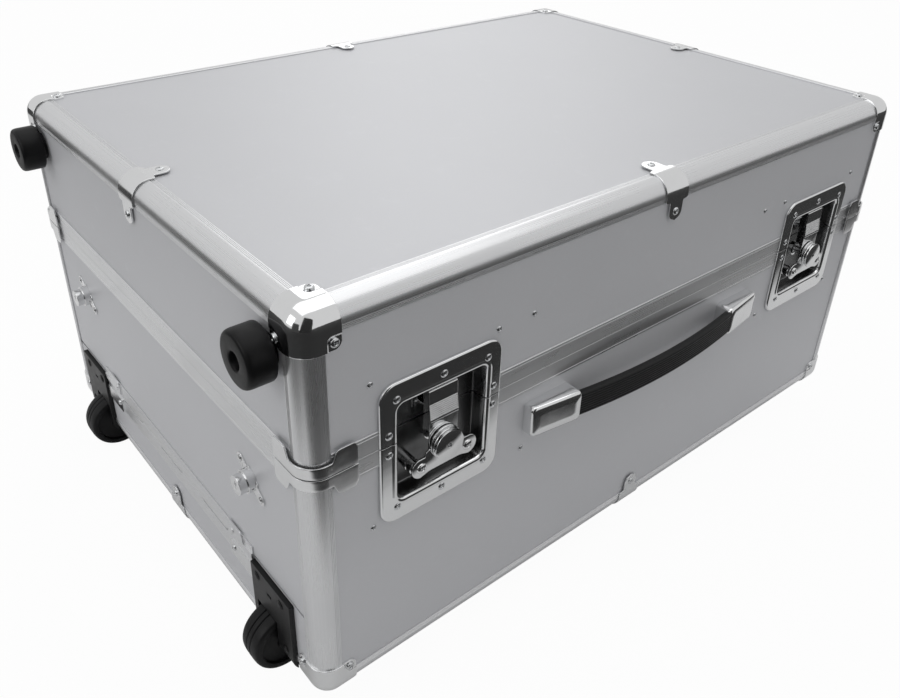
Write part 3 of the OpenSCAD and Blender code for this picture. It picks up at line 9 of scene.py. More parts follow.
import bmesh
import bpy
import numpy as np
from bpy.props import FloatProperty, FloatVectorProperty, IntProperty, PointerProperty
from mathutils import Matrix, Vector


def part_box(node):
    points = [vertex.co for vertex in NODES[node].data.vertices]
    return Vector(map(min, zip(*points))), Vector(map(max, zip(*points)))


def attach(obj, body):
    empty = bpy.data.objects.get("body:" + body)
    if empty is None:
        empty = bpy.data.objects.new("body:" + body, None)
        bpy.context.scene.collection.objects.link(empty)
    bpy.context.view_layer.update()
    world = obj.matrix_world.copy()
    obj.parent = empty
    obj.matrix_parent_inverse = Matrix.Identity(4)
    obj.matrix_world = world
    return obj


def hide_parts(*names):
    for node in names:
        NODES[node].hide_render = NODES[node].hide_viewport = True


bl_info = {
    "name": "Portable Dental Unit",
    "version": (1, 0, 0),
    "blender": (4, 5, 0),
    "location": "View3D > Sidebar > Dental Unit",
    "description": "Builds the visible pieces of a portable dental unit in a flight case",
    "category": "Add Mesh",
}

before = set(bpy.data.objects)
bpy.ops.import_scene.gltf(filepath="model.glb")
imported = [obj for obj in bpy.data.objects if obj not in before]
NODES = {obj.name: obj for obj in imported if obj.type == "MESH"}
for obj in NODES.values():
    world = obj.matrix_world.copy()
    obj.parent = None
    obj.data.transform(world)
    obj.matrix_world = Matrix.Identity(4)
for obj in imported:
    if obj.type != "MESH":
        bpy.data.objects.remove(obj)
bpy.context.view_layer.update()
MM = 0.001
JOIN = 2e-6                         # metres within which points are joined


def node_box(name):
    """Lowest and highest corner of a CAD node, in millimetres of the frame."""
    low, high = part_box(name)
    return np.array(low) / MM, np.array(high) / MM


_body, _lid = node_box("body_edge_profiles"), node_box("lid_edge_profiles")
LOW = _body[0]                      # lowest corner of the closed case
HIGH = np.array([_body[1][0], _body[1][1], _lid[1][2]])
SPLIT = (_body[1][2] + _lid[0][2]) / 2
MID = (LOW + HIGH) / 2
GAP = 0.15                          # from the split to the profiles' and bands' ends
BODY, LID = "case_body", "lid"
NAMED = {BODY: "body_", LID: "lid_"}


# ---- sizes and colours a user would change -----------------------------------------------

def length(name, value, text):
    """A size in metres, written here in millimetres."""
    return FloatProperty(name=name, description=text, default=value * MM, min=0.0, unit="LENGTH",
                         precision=5)


def colour(name, value, text):
    """A colour that the user can pick."""
    return FloatVectorProperty(name=name, description=text, default=value, size=3, min=0.0,
                               max=1.0, subtype="COLOR")


class UnitTrim(bpy.types.PropertyGroup):
    """Sizes of the case's edge trim."""
    leg: length("Profile leg", 18, "Width of an edge profile on each face")
    rounding: length("Profile rounding", 14, "Outer rounding of the edge profiles")
    inset: length("Panel inset", 1.2, "How far a panel lies below the profiles' face")
    panel: length("Panel", 6, "Thickness of a wall panel")
    wall: length("Inner leg", 1.5, "Wall of a profile's inner leg")
    groove: length("Groove depth", 0.35, "Depth of the fine grooves")
    sheet: length("Sheet", 1.2, "Thickness of caps, brackets and clips")
    cap_reach: length("Cap reach", 29, "How far a corner cap runs along an edge")
    cap_round: length("Cap rounding", 5.5, "Rounding of a corner cap's inner corners")
    cap_sink: length("Cap sink", 0.6, "Depth of the pocket round a corner cap's rivet")
    cap_rivet: length("Cap rivet", 23.6, "Distance of a cap's rivet from both edges")


class UnitHardware(bpy.types.PropertyGroup):
    """Sizes of latches, handle, wheels and feet."""
    flange_round: length("Flange rounding", 12, "Corner radius of a latch flange")
    dish_w: length("Dish width", 76, "Width of a latch dish's opening")
    dish_h: length("Dish height", 80, "Height of a latch dish's opening")
    dish_depth: length("Dish depth", 12, "Depth of a latch dish")
    grip_ribs: IntProperty(name="Grip ribs", description="Fine ribs on each face of the grip",
                           default=7, min=0, max=12)
    tread_grooves: IntProperty(name="Tread grooves", description="Grooves round a wheel's tread",
                               default=2, min=0, max=4)


class UnitColours(bpy.types.PropertyGroup):
    """Colours of the finishes."""
    laminate: colour("Laminate", (0.60, 0.605, 0.625), "Silver laminate of the panels")
    aluminium: colour("Aluminium", (0.74, 0.745, 0.755), "Anodised edge profiles")
    plating: colour("Plating", (0.80, 0.805, 0.81), "Bright plated fittings")
    steel: colour("Steel", (0.62, 0.63, 0.64), "Zinc plated steel")
    black: colour("Black", (0.007, 0.007, 0.0075), "Moulded black plastic")
    rubber: colour("Rubber", (0.005, 0.005, 0.0055), "Black rubber")
    powder: colour("Powder coat", (0.56, 0.585, 0.62), "Powder coated deck")
    white: colour("White", (0.82, 0.83, 0.84), "White moulded plastic")
    motor: colour("Motor", (0.07, 0.085, 0.10), "Compressor enamel")
    water: colour("Water", (0.56, 0.75, 0.86), "Clean water bottle")
    waste: colour("Waste", (0.80, 0.73, 0.50), "Waste bottle")
    blue: colour("Blue", (0.03, 0.12, 0.38), "Blue caps and knob")
    green: colour("Green", (0.02, 0.22, 0.06), "Power rocker")


def in_mm(group):
    """A group's lengths in millimetres and its counts as they are."""
    values = {key: getattr(group, key) for key in type(group).__annotations__}
    return SimpleNamespace(**{key: value / MM if isinstance(value, float) else value
                              for key, value in values.items()})


def trim():
    """Sizes of the edge trim, in millimetres."""
    return in_mm(bpy.context.scene.unit_trim)


def hardware():
    """Sizes of latches, handle and wheels, in millimetres."""
    return in_mm(bpy.context.scene.unit_hardware)


# ---- shader maths ------------------------------------------------------------------------

class Value:
    """A number on a node's socket. Arithmetic on it adds Math nodes."""

    def __init__(self, paint, socket):
        self.paint, self.socket = paint, socket

    def math(self, operation, *others):
        node = self.paint.tree.nodes.new("ShaderNodeMath")
        node.operation = operation
        for socket, value in zip(node.inputs, (self, *others)):
            self.paint.feed(socket, value)
        return Value(self.paint, node.outputs[0])

    def __add__(self, other): return self.math("ADD", other)
    def __sub__(self, other): return self.math("SUBTRACT", other)
    def __mul__(self, other): return self.math("MULTIPLY", other)
    __radd__, __rmul__ = __add__, __mul__

    def __rsub__(self, other):
        return (self * -1) + other

    def over(self, low, high):
        """0 below low, 1 above high and even between."""
        return self.paint.node("ShaderNodeMapRange", {"clamp": True},
                               Value=self, **{"From Min": low, "From Max": high})


class Nodes:
    """A node tree that nodes are added to."""

    def __init__(self, tree):
        self.tree = tree

    def feed(self, socket, value):
        """Links a value to a socket, or sets the socket to a number."""
        if isinstance(value, Value):
            self.tree.links.new(value.socket, socket)
        else:
            socket.default_value = value

    def node(self, kind, settings=None, out=0, **sockets):
        """Adds a node: its settings first, then its sockets by name, as values or links."""
        node = self.tree.nodes.new(kind)
        for key, value in (settings or {}).items():
            setattr(node, key, value)
        for key, value in sockets.items():
            self.feed(node.inputs[int(key[1:]) if key[0] == "_" else key], value)
        return Value(self, node.outputs[out])

    def ray(self, kind):
        """1 for what the camera or a mirror sees."""
        return self.node("ShaderNodeLightPath", out={"camera": 0, "mirror": 3}[kind])


class Paint(Nodes):
    """A material and its node tree."""

    def __init__(self, name):
        self.material = bpy.data.materials.new(name)
        self.material.use_nodes = True
        super().__init__(self.material.node_tree)
        self.shader = self.tree.nodes["Principled BSDF"]

    def place(self, scale=(1, 1, 1)):
        """Object coordinates, stretched by scale."""
        at = self.node("ShaderNodeTexCoord", out=3)
        return self.node("ShaderNodeMapping", Vector=at, Scale=scale)

    def along(self, axis):
        """Object coordinate on one axis, in metres."""
        at = self.node("ShaderNodeTexCoord", out=3)
        return self.node("ShaderNodeSeparateXYZ", out=axis, Vector=at)

    def noise(self, scale, detail=3.0, rough=0.55, stretch=(1, 1, 1)):
        """Noise of about 0 to 1 with its mean at 0.5; scale is in waves per metre."""
        return self.node("ShaderNodeTexNoise", Vector=self.place(stretch), Scale=scale,
                         Detail=detail, Roughness=rough)

    def blend(self, share, first, second):
        """Mix of two colours."""
        return self.node("ShaderNodeMix", {"data_type": "RGBA"}, out=2,
                         _0=share, _6=first, _7=second)

    def bump(self, height, depth, below=None):
        """Bump of a 0 to 1 height over depth metres."""
        more = {} if below is None else {"Normal": below}
        return self.node("ShaderNodeBump", Height=height, Distance=depth, Strength=1.0, **more)

    def finish(self, **sockets):
        """Sets the shader's sockets, named with _ for a space, and returns the material."""
        for key, value in sockets.items():
            self.feed(self.shader.inputs[key.replace("_", " ")], value)
        return self.material


def shade(rgb, gain=1.0):
    """An opaque colour, made lighter or darker."""
    return (*[min(1.0, c * gain) for c in rgb], 1.0)


def satin_laminate(name, rgb):
    """Silver laminate: metallic pigment under a matt skin, with faint clouds, grain and scuffs."""
    p = Paint(name)
    clouds = p.noise(5.0, 2.0)
    grain = p.noise(2600.0, 2.0, 0.7)
    scuffs = p.noise(60.0, 5.0, 0.65).over(0.60, 0.76)
    fine = p.blend(grain.over(0.3, 0.7), shade(rgb, 0.955), shade(rgb, 1.035))
    tone = p.blend(clouds.over(0.35, 0.65) * 0.5, fine, shade(rgb, 1.05))
    tone = p.blend(scuffs * 0.10, tone, shade(rgb, 1.22))
    rough = grain * 0.10 + clouds * 0.05 + scuffs * -0.05 + 0.42
    return p.finish(Base_Color=tone, Roughness=rough, Metallic=0.30,
                    Normal=p.bump(grain, 0.00004))


def drawn_aluminium(name, rgb, axis):
    """Anodised extrusion: fine draw lines along axis under a satin skin, faint handling marks."""
    p = Paint(name)
    across = [1.0, 1.0, 1.0]
    across[axis] = 0.002
    lines = p.noise(1500.0, 3.0, 0.6, across)
    marks = p.noise(14.0, 3.0, 0.6).over(0.52, 0.72)
    tone = p.blend(lines.over(0.3, 0.7), shade(rgb, 0.965), shade(rgb, 1.02))
    tone = p.blend(marks * 0.25, tone, shade(rgb, 0.93))
    rough = lines * 0.08 + marks * 0.04 + 0.24
    return p.finish(Base_Color=tone, Roughness=rough, Metallic=0.90, Normal=p.bump(lines, 0.000012))


def bright_plate(name, rgb, rough, wave=0.00006, gain=1.0):
    """Bright plating over pressed sheet: slow waves, hairline scratches and finger haze."""
    p = Paint(name)
    haze = p.noise(38.0, 4.0, 0.6).over(0.45, 0.75)
    scratches = p.noise(420.0, 3.0, 0.7, (1, 1, 0.12)).over(0.66, 0.72)
    tone = p.blend(haze * 0.35, shade(rgb, gain), shade(rgb, 0.90 * gain))
    rough = haze * 0.10 + scratches * 0.12 + rough
    waves = p.bump(p.noise(45.0, 2.0), wave)
    return p.finish(Base_Color=tone, Roughness=rough, Metallic=1.0,
                    Normal=p.bump(scratches, -0.00001, waves))


def plate_with_painted_recess_shade(name, rgb):
    """Bright plating that is dull and dark inside the recess behind the case face."""
    p = Paint(name)
    # painted shade: the colour darkens to 0.16 of the plating with depth behind the case face,
    # mottled by the smears noise
    depth = p.along(1).over((LOW[1] + 0.3) * MM, (LOW[1] + 4.0) * MM)
    smears_and_shade_mottle = p.noise(55.0, 4.0, 0.6)
    tone = p.blend(depth * (smears_and_shade_mottle * 0.25 + 0.82), shade(rgb), shade(rgb, 0.16))
    rough = depth * 0.16 + smears_and_shade_mottle * 0.06 + 0.07
    return p.finish(Base_Color=tone, Roughness=rough, Metallic=1.0,
                    Normal=p.bump(p.noise(45.0, 2.0), 0.00008))


def dull_steel(name, rgb):
    """Zinc plated steel with its mottled grain."""
    p = Paint(name)
    spangle = p.node("ShaderNodeTexVoronoi", out=1, Vector=p.place(), Scale=160.0)
    grey = p.node("ShaderNodeRGBToBW", Color=spangle)
    brush = p.noise(900.0, 3.0, 0.7, (1, 0.06, 1))
    tone = p.blend(grey * 0.5 + brush * 0.4, shade(rgb, 0.82), shade(rgb, 1.1))
    return p.finish(Base_Color=tone, Roughness=brush * 0.16 + grey * 0.08 + 0.24, Metallic=0.95,
                    Normal=p.bump(brush, 0.00002))


def moulded(name, rgb, rough, grain, depth, coat=0.0, specular=0.5):
    """Moulded plastic: fine spark-eroded grain, rubbed smoother and paler in places."""
    p = Paint(name)
    skin = p.noise(grain, 3.0, 0.6)
    rubbed = p.noise(30.0, 4.0, 0.6).over(0.50, 0.72)
    tone = p.blend(rubbed * 0.5, shade(rgb), shade([c * 1.15 + 0.003 for c in rgb]))
    tone = p.blend(skin.over(0.3, 0.7) * 0.25, tone, shade(rgb, 0.8))
    return p.finish(Base_Color=tone, Roughness=skin * 0.10 - rubbed * 0.10 + rough,
                    Normal=p.bump(skin, depth), Coat_Weight=coat, Specular_IOR_Level=specular)


def clouded_bottle(name, rgb, alpha):
    """Translucent blow-moulded bottle with a paler haze."""
    p = Paint(name)
    haze = p.noise(30.0, 3.0).over(0.35, 0.7)
    tone = p.blend(haze * 0.3, shade(rgb), shade(rgb, 1.2))
    return p.finish(Base_Color=tone, Alpha=haze * 0.1 + alpha, Roughness=haze * 0.1 + 0.2,
                    Normal=p.bump(haze, 0.0001))


def powder_coat(name, rgb):
    """Powder coat: orange peel over metal."""
    p = Paint(name)
    peel = p.noise(520.0, 2.0, 0.5)
    clouds = p.noise(9.0, 3.0)
    tone = p.blend(clouds, shade(rgb, 0.96), shade(rgb, 1.04))
    return p.finish(Base_Color=tone, Roughness=peel * 0.12 + 0.38, Metallic=0.1,
                    Normal=p.bump(peel, 0.00008))


FINISHES = {
    # slot or look: its maker, its colour and the maker's further values
    "silver_panel": (satin_laminate, "laminate"),
    "edge_aluminium": (drawn_aluminium, "aluminium", 0),
    "edge_aluminium_y": (drawn_aluminium, "aluminium", 1),
    "edge_aluminium_z": (drawn_aluminium, "aluminium", 2),
    "polished_metal": (bright_plate, "plating", 0.06, 0.00010),
    "chrome_fittings": (bright_plate, "plating", 0.12),
    "latch_chrome": (bright_plate, "plating", 0.08, 0.00006, 0.95),
    # dish plating with painted shade in its recess
    "latch_dish": (plate_with_painted_recess_shade, "plating"),
    "fastener_steel": (bright_plate, "steel", 0.16, 0.00003),
    "steel_parts": (dull_steel, "steel"),
    "black_plastic": (moulded, "black", 0.36, 900.0, 0.00005, 0.0, 0.28),
    "black_rubber": (moulded, "rubber", 0.36, 500.0, 0.00004, 0.0, 0.18),
    "wheel_tyre": (moulded, "rubber", 0.38, 300.0, 0.00006, 0.0, 0.22),
    "deck_paint": (powder_coat, "powder"),
    "white_plastic": (moulded, "white", 0.34, 1200.0, 0.00002, 0.3),
    "motor_paint": (powder_coat, "motor"),
    "clear_bottle": (clouded_bottle, "water", 0.5),
    "amber_bottle": (clouded_bottle, "waste", 0.62),
    "blue_plastic": (moulded, "blue", 0.32, 1200.0, 0.00002, 0.3),
    "green_plastic": (moulded, "green", 0.30, 1200.0, 0.00002, 0.3),
}
_made = {}


def finish_of(look):
    """The material of a slot or look, made once."""
    if look not in _made:
        maker, tint, *values = FINISHES[look]
        _made[look] = maker(look, getattr(bpy.context.scene.unit_colours, tint), *values)
    return _made[look]


# ---- surfaces ----------------------------------------------------------------------------

class Shell:
    """Points in millimetres and the polygons over them, kept as whole arrays."""

    def __init__(self, points, loops, sizes):
        self.points = np.asarray(points, float).reshape(-1, 3)
        self.loops, self.sizes = np.asarray(loops, int).ravel(), np.asarray(sizes, int).ravel()

    def turned(self, matrix, shift=(0, 0, 0)):
        """Each point times matrix, plus shift; a mirroring matrix also turns the faces round."""
        m = np.asarray(matrix, float)
        made = Shell(self.points @ m.T + np.asarray(shift, float), self.loops, self.sizes)
        return made.flipped() if np.linalg.det(m) < 0 else made

    def moved(self, *shift):
        """Each point plus shift."""
        return self.turned(np.eye(3), shift)

    def flipped(self):
        """Every face turned round: its corners in reverse order."""
        starts = np.cumsum(self.sizes) - self.sizes
        back = np.repeat(2 * starts + self.sizes - 1, self.sizes) - np.arange(len(self.loops))
        return Shell(self.points, self.loops[back], self.sizes)

    def __add__(self, other):
        return Shell(np.vstack([self.points, other.points]),
                     np.concatenate([self.loops, other.loops + len(self.points)]),
                     np.concatenate([self.sizes, other.sizes]))

    def __radd__(self, zero):
        """Lets sum() begin with its 0."""
        return self


def grid(points, round_u=False, round_v=False):
    """Quads over points[u, v, 3]; round_u or round_v joins the last row or column to the first."""
    points = np.asarray(points, float)
    nu, nv = points.shape[:2]
    at = np.arange(nu * nv).reshape(nu, nv)
    if round_u:
        at = np.vstack([at, at[:1]])
    if round_v:
        at = np.hstack([at, at[:, :1]])
    quads = np.stack([at[:-1, :-1], at[1:, :-1], at[1:, 1:], at[:-1, 1:]], -1).reshape(-1, 4)
    return Shell(points.reshape(-1, 3), quads, np.full(len(quads), 4))


def end_face(ring, flip=False):
    """One polygon over a closed ring of points."""
    made = Shell(ring, np.arange(len(ring)), [len(ring)])
    return made.flipped() if flip else made


def lathe(profile, count=48):
    """Turns a profile of (radius, height) about z: point = (r cos a, r sin a, h)."""
    profile = np.asarray(profile, float)
    a = np.linspace(0, 2 * np.pi, count, endpoint=False)
    r, h = profile[:, :1], profile[:, 1:]
    return grid(np.stack([r * np.cos(a), r * np.sin(a), h + 0 * a], -1), round_v=True)


def extrude(section, start, end, u, v):
    """Carries a closed section of (a, b) straight from start to end: start + a u + b v."""
    start, end, u, v = (np.asarray(x, float) for x in (start, end, u, v))
    a, b = np.asarray(section, float).T
    flat = a[:, None] * u + b[:, None] * v
    ends = np.stack([flat + start, flat + end])
    made = grid(ends, round_v=True) + end_face(ends[0], flip=True) + end_face(ends[1])
    area = 0.5 * np.sum(a * np.roll(b, -1) - b * np.roll(a, -1))
    return made.flipped() if area * np.dot(np.cross(u, v), end - start) >= 0 else made


def arc(centre, radius, start, end, count):
    """Points on a circle from start to end, in degrees."""
    a = np.radians(np.linspace(start, end, count))
    return np.stack([centre[0] + radius * np.cos(a), centre[1] + radius * np.sin(a)], -1)


def rounded_rect(w, h, r, count=8):
    """Closed outline of a rectangle w by h with corners of radius r, centred, anticlockwise."""
    r = min(r, w / 2 - 1e-3, h / 2 - 1e-3)
    x, y = w / 2 - r, h / 2 - r
    corners = ((x, y), (-x, y), (-x, -y), (x, -y))
    return np.vstack([arc(c, r, 90 * i, 90 * i + 90, count) for i, c in enumerate(corners)])


def placed(name, data):
    """A new object in the scene."""
    obj = bpy.data.objects.new(name, data)
    bpy.context.scene.collection.objects.link(obj)
    return obj


def piece(name, shell, slot, body, node=None, look=None, angle=35.0):
    """Puts a shell into a mesh object with its finish, body, slot and the node it stands for."""
    mesh = bpy.data.meshes.new(name)
    mesh.vertices.add(len(shell.points))
    mesh.vertices.foreach_set("co", (shell.points * MM).astype(np.float32).ravel())
    mesh.loops.add(len(shell.loops))
    mesh.loops.foreach_set("vertex_index", shell.loops.astype(np.int32))
    mesh.polygons.add(len(shell.sizes))
    starts = np.cumsum(shell.sizes) - shell.sizes
    mesh.polygons.foreach_set("loop_start", starts.astype(np.int32))
    mesh.polygons.foreach_set("loop_total", shell.sizes.astype(np.int32))
    mesh.update(calc_edges=True)
    mesh.validate()
    work = bmesh.new()
    work.from_mesh(mesh)
    bmesh.ops.remove_doubles(work, verts=work.verts, dist=JOIN)
    bmesh.ops.dissolve_degenerate(work, edges=work.edges, dist=JOIN / 2)
    work.to_mesh(mesh)
    work.free()
    mesh.polygons.foreach_set("use_smooth", np.ones(len(mesh.polygons), bool))
    mesh.set_sharp_from_angle(angle=math.radians(angle))
    mesh.materials.append(finish_of(look or slot))
    obj = placed(name, mesh)
    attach(obj, body)
    if node:
        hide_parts(node)
    return obj


def roll_edges(obj, width, segments, angle):
    """Rolls the edges that turn by more than angle degrees, by width millimetres."""
    roll = obj.modifiers.new("Rolled edges", "BEVEL")
    roll.width, roll.segments, roll.limit_method = width * MM, segments, "ANGLE"
    roll.angle_limit, roll.use_clamp_overlap = math.radians(angle), False
    return roll


def even_shading(obj):
    """Shades by the larger faces, so that rolled edges don't bend the flat ones."""
    obj.modifiers.new("Even shading", "WEIGHTED_NORMAL").keep_sharp = False


def soften(obj, width, segments=2, sheet=None):
    """Gives a piece its sheet thickness, inwards, and rolls its hard edges, in millimetres."""
    if sheet:
        wall = obj.modifiers.new("Sheet", "SOLIDIFY")
        wall.thickness, wall.offset, wall.use_even_offset = sheet * MM, -1.0, True
    roll_edges(obj, width, segments, 30.0).miter_outer = "MITER_ARC"
    even_shading(obj)


def dress(name, slot, width=0.0, segments=2):
    """Finishes a CAD node that keeps its shape: its triangles are joined again by modifiers."""
    obj = NODES[name]
    obj.data.materials.clear()
    obj.data.materials.append(finish_of(slot))
    obj.data.polygons.foreach_set("use_smooth", np.ones(len(obj.data.polygons), bool))
    obj.modifiers.new("Join", "WELD").merge_threshold = JOIN
    flat = obj.modifiers.new("Flat faces", "DECIMATE")
    flat.decimate_type, flat.angle_limit = "DISSOLVE", math.radians(0.6)
    if width:
        roll_edges(obj, width, segments, 28.0)
    even_shading(obj)


# ---- where things go ---------------------------------------------------------------------

def mirrored(shell, *signs):
    """Copies a shell drawn from the front left bottom corner to the corners that signs name."""
    return sum(shell.turned(np.diag(s), np.where(np.array(s) > 0, LOW, HIGH)) for s in signs)


def aim(direction):
    """Rotation that turns +z to direction."""
    z = np.asarray(direction, float) / np.linalg.norm(direction)
    x = np.cross((0, 1, 0) if abs(z[1]) < 0.9 else (0, 0, 1), z)
    x /= np.linalg.norm(x)
    return np.stack([x, np.cross(z, x), z], 1)


def solids_of(name):
    """Lowest and highest corner of each separate solid of a CAD node, in millimetres.

    Corners are joined by rounding, and every triangle passes on the lowest label of its corners
    until nothing changes.
    """
    mesh = NODES[name].data
    points = np.zeros(len(mesh.vertices) * 3, np.float32)
    mesh.vertices.foreach_get("co", points)
    points = points.reshape(-1, 3).astype(float) / MM
    corners = np.zeros(len(mesh.loops), np.int32)
    mesh.loops.foreach_get("vertex_index", corners)
    _, same = np.unique(np.round(points, 2), axis=0, return_inverse=True)
    tris = same.ravel()[corners].reshape(-1, 3)
    label = np.arange(same.max() + 1)
    while True:
        low = label[tris].min(1)
        fresh = label.copy()
        np.minimum.at(fresh, tris.ravel(), np.repeat(low, 3))
        if np.array_equal(fresh, label):
            break
        label = fresh
    owner = label[same.ravel()]
    return [(points[owner == k].min(0), points[owner == k].max(0)) for k in np.unique(owner)]


def left_to_right(name):
    """A node's solids in their order along the front."""
    return sorted(solids_of(name), key=lambda box: box[0][0])


def mirrored_all(shell, top=False):
    """Copies to the four bottom or the four top corners."""
    z = -1 if top else 1
    return mirrored(shell, (1, 1, z), (-1, 1, z), (1, -1, z), (-1, -1, z))


# ---- edge profiles, bands and panels -----------------------------------------------------

def seat():
    """Depth of a profile's inner face below its outer one."""
    t = trim()
    return t.inset + t.panel + t.wall


def leg_outline():
    """Outer face of one leg from its lip to the rounding: flat, with three V grooves cut in."""
    leg, deep = trim().leg, trim().groove
    lip, first, pitch, mouth, floor = 0.3, 1.3, 1.15, 0.34, 0.14
    middles = leg - first - pitch * np.arange(3)
    cut = np.array([[mouth, 0], [floor, deep], [-floor, deep], [-mouth, 0]])
    grooves = (middles[:, None, None] * [1, 0] + cut).reshape(-1, 2)
    return np.vstack([[[leg, lip], [leg - lip, 0]], grooves])


def profile_section():
    """Closed outline of an edge profile: grooved leg, quarter circle, grooved leg, panel slots."""
    t = trim()
    leg, r, inset, skin, core = t.leg, t.rounding, t.inset, t.inset + t.panel, seat()
    first = leg_outline()
    slots = [[inset, leg], [inset, core], [skin, core], [skin, leg], [core, leg], [core, core],
             [leg, core], [leg, skin], [core, skin], [core, inset], [leg, inset]]
    return np.vstack([first, arc((r, r), r, -90, -180, 25), first[::-1, ::-1], slots])


def wheel_gaps():
    """Stretches of the left bottom edge that the two wheel boxes take, from the front."""
    room = 4.5
    boxes = [node_box(name) for name in ("front_wheel", "back_wheel")]
    return sorted((low[1] - LOW[1] - room, high[1] - LOW[1] + room) for low, high in boxes)


def build_edge_profiles():
    """The profile's section carried straight along each edge; the short edges and uprights
    start a hair inside the long ones."""
    size, leg = HIGH - LOW, trim().leg
    section, start = profile_section(), leg + 0.1

    def short_edge(near, far):
        return extrude(section, (0, near, 0), (0, far, 0), (1, 0, 0), (0, 0, 1))

    def upright(top):
        return extrude(section, (0, 0, start), (0, 0, top), (1, 0, 0), (0, 1, 0))

    long_edge = extrude(section, (leg, 0, 0), (size[0] - leg, 0, 0), (0, 1, 0), (0, 0, 1))
    whole = short_edge(start, size[1] - start)
    (a, b), (c, d) = wheel_gaps()
    left = short_edge(start, a) + short_edge(b, c) + short_edge(d, size[1] - start)
    parts = [
        (BODY, "long_profiles", "", mirrored(long_edge, (1, 1, 1), (1, -1, 1))),
        (BODY, "short_profiles", "_y", mirrored(left, (1, 1, 1)) + mirrored(whole, (-1, 1, 1))),
        (BODY, "uprights", "_z", mirrored_all(upright(SPLIT - LOW[2] - GAP))),
        (LID, "long_profiles", "", mirrored(long_edge, (1, 1, -1), (1, -1, -1))),
        (LID, "short_profiles", "_y", mirrored(whole, (1, 1, -1), (-1, 1, -1))),
        (LID, "uprights", "_z", mirrored_all(upright(HIGH[2] - SPLIT - GAP), top=True)),
    ]
    for body, name, look, shell in parts:
        piece(NAMED[body] + name, shell, "edge_aluminium", body, NAMED[body] + "edge_profiles",
              "edge_aluminium" + look, angle=22)


def band_section(key):
    """Band hanging from the split, as (depth from the face, height): a face with one fine groove
    above its rolled lip, and two webs behind. key 1 adds the tongue, key -1 its groove."""
    t = trim()
    inset, skin, core = t.inset, t.inset + t.panel, seat()
    low, web = -14.5, -4.0
    face = [[0.15, 0], [0, -0.15], [0, low + 2.6], [0.25, low + 2.4], [0.25, low + 2.1],
            [0, low + 1.9], [0, low + 0.4], [0.4, low]]
    back = [[inset, low], [inset, web], [skin, web], [skin, low], [core, low], [core, 0]]
    half = 1.0 if key > 0 else 1.4
    far, near = core / 2 + half, core / 2 - half
    top = {0: [],
           1: [[far, 0], [far, 1.7], [far - 0.3, 2], [near + 0.3, 2], [near, 1.7], [near, 0]],
           -1: [[far, 0], [far, -2.4], [near, -2.4], [near, 0]]}[key]
    return np.array(face + back + top)


def build_split_bands():
    """The band's section carried along the split; in front it leaves room for the dishes."""
    size, leg, half = HIGH - LOW, trim().leg, hardware().dish_w / 2 + 1
    stops = [leg]
    for low, high in left_to_right("latch_dishes_upper"):
        middle = (low[0] + high[0]) / 2 - LOW[0]
        stops += [middle - half, middle + half]
    stops.append(size[0] - leg)
    for body, way in ((BODY, 1), (LID, -1)):
        z = SPLIT - LOW[2] - GAP * way

        def run(section, near, far):
            return extrude(section, (near, 0, z), (far, 0, z), (0, 1, 0), (0, 0, way))

        keyed = band_section(way)
        front = sum(run(keyed, near, far) for near, far in zip(stops[::2], stops[1::2]))
        back = run(band_section(0), leg, size[0] - leg)
        end = extrude(keyed, (0, leg, z), (0, size[1] - leg, z), (1, 0, 0), (0, 0, way))
        name, node = NAMED[body] + "band", NAMED[body] + "split_band"
        piece(name + "_long", mirrored(front, (1, 1, 1)) + mirrored(back, (1, -1, 1)),
              "edge_aluminium", body, node, angle=20)
        piece(name + "_ends", mirrored(end, (1, 1, 1), (-1, 1, 1)), "edge_aluminium", body, node,
              "edge_aluminium_y", angle=20)


# ---- caps, brackets, clips and rivets ----------------------------------------------------

def cap_reach_at(angle, side, r):
    """Distance from the corner to the outline of a square with its far corner rounded by r:
    the square's side, or the rounding's circle about (side - r, side - r)."""
    far, off = (side - r) * math.sqrt(2), np.abs(angle - np.pi / 4)
    ring = far * np.cos(off) + np.sqrt(np.maximum(r ** 2 - (far * np.sin(off)) ** 2, 0))
    rounded = off < np.pi / 4 - math.atan2(side - r, side)
    return np.where(rounded, ring, side / np.maximum(np.cos(angle), np.sin(angle)))


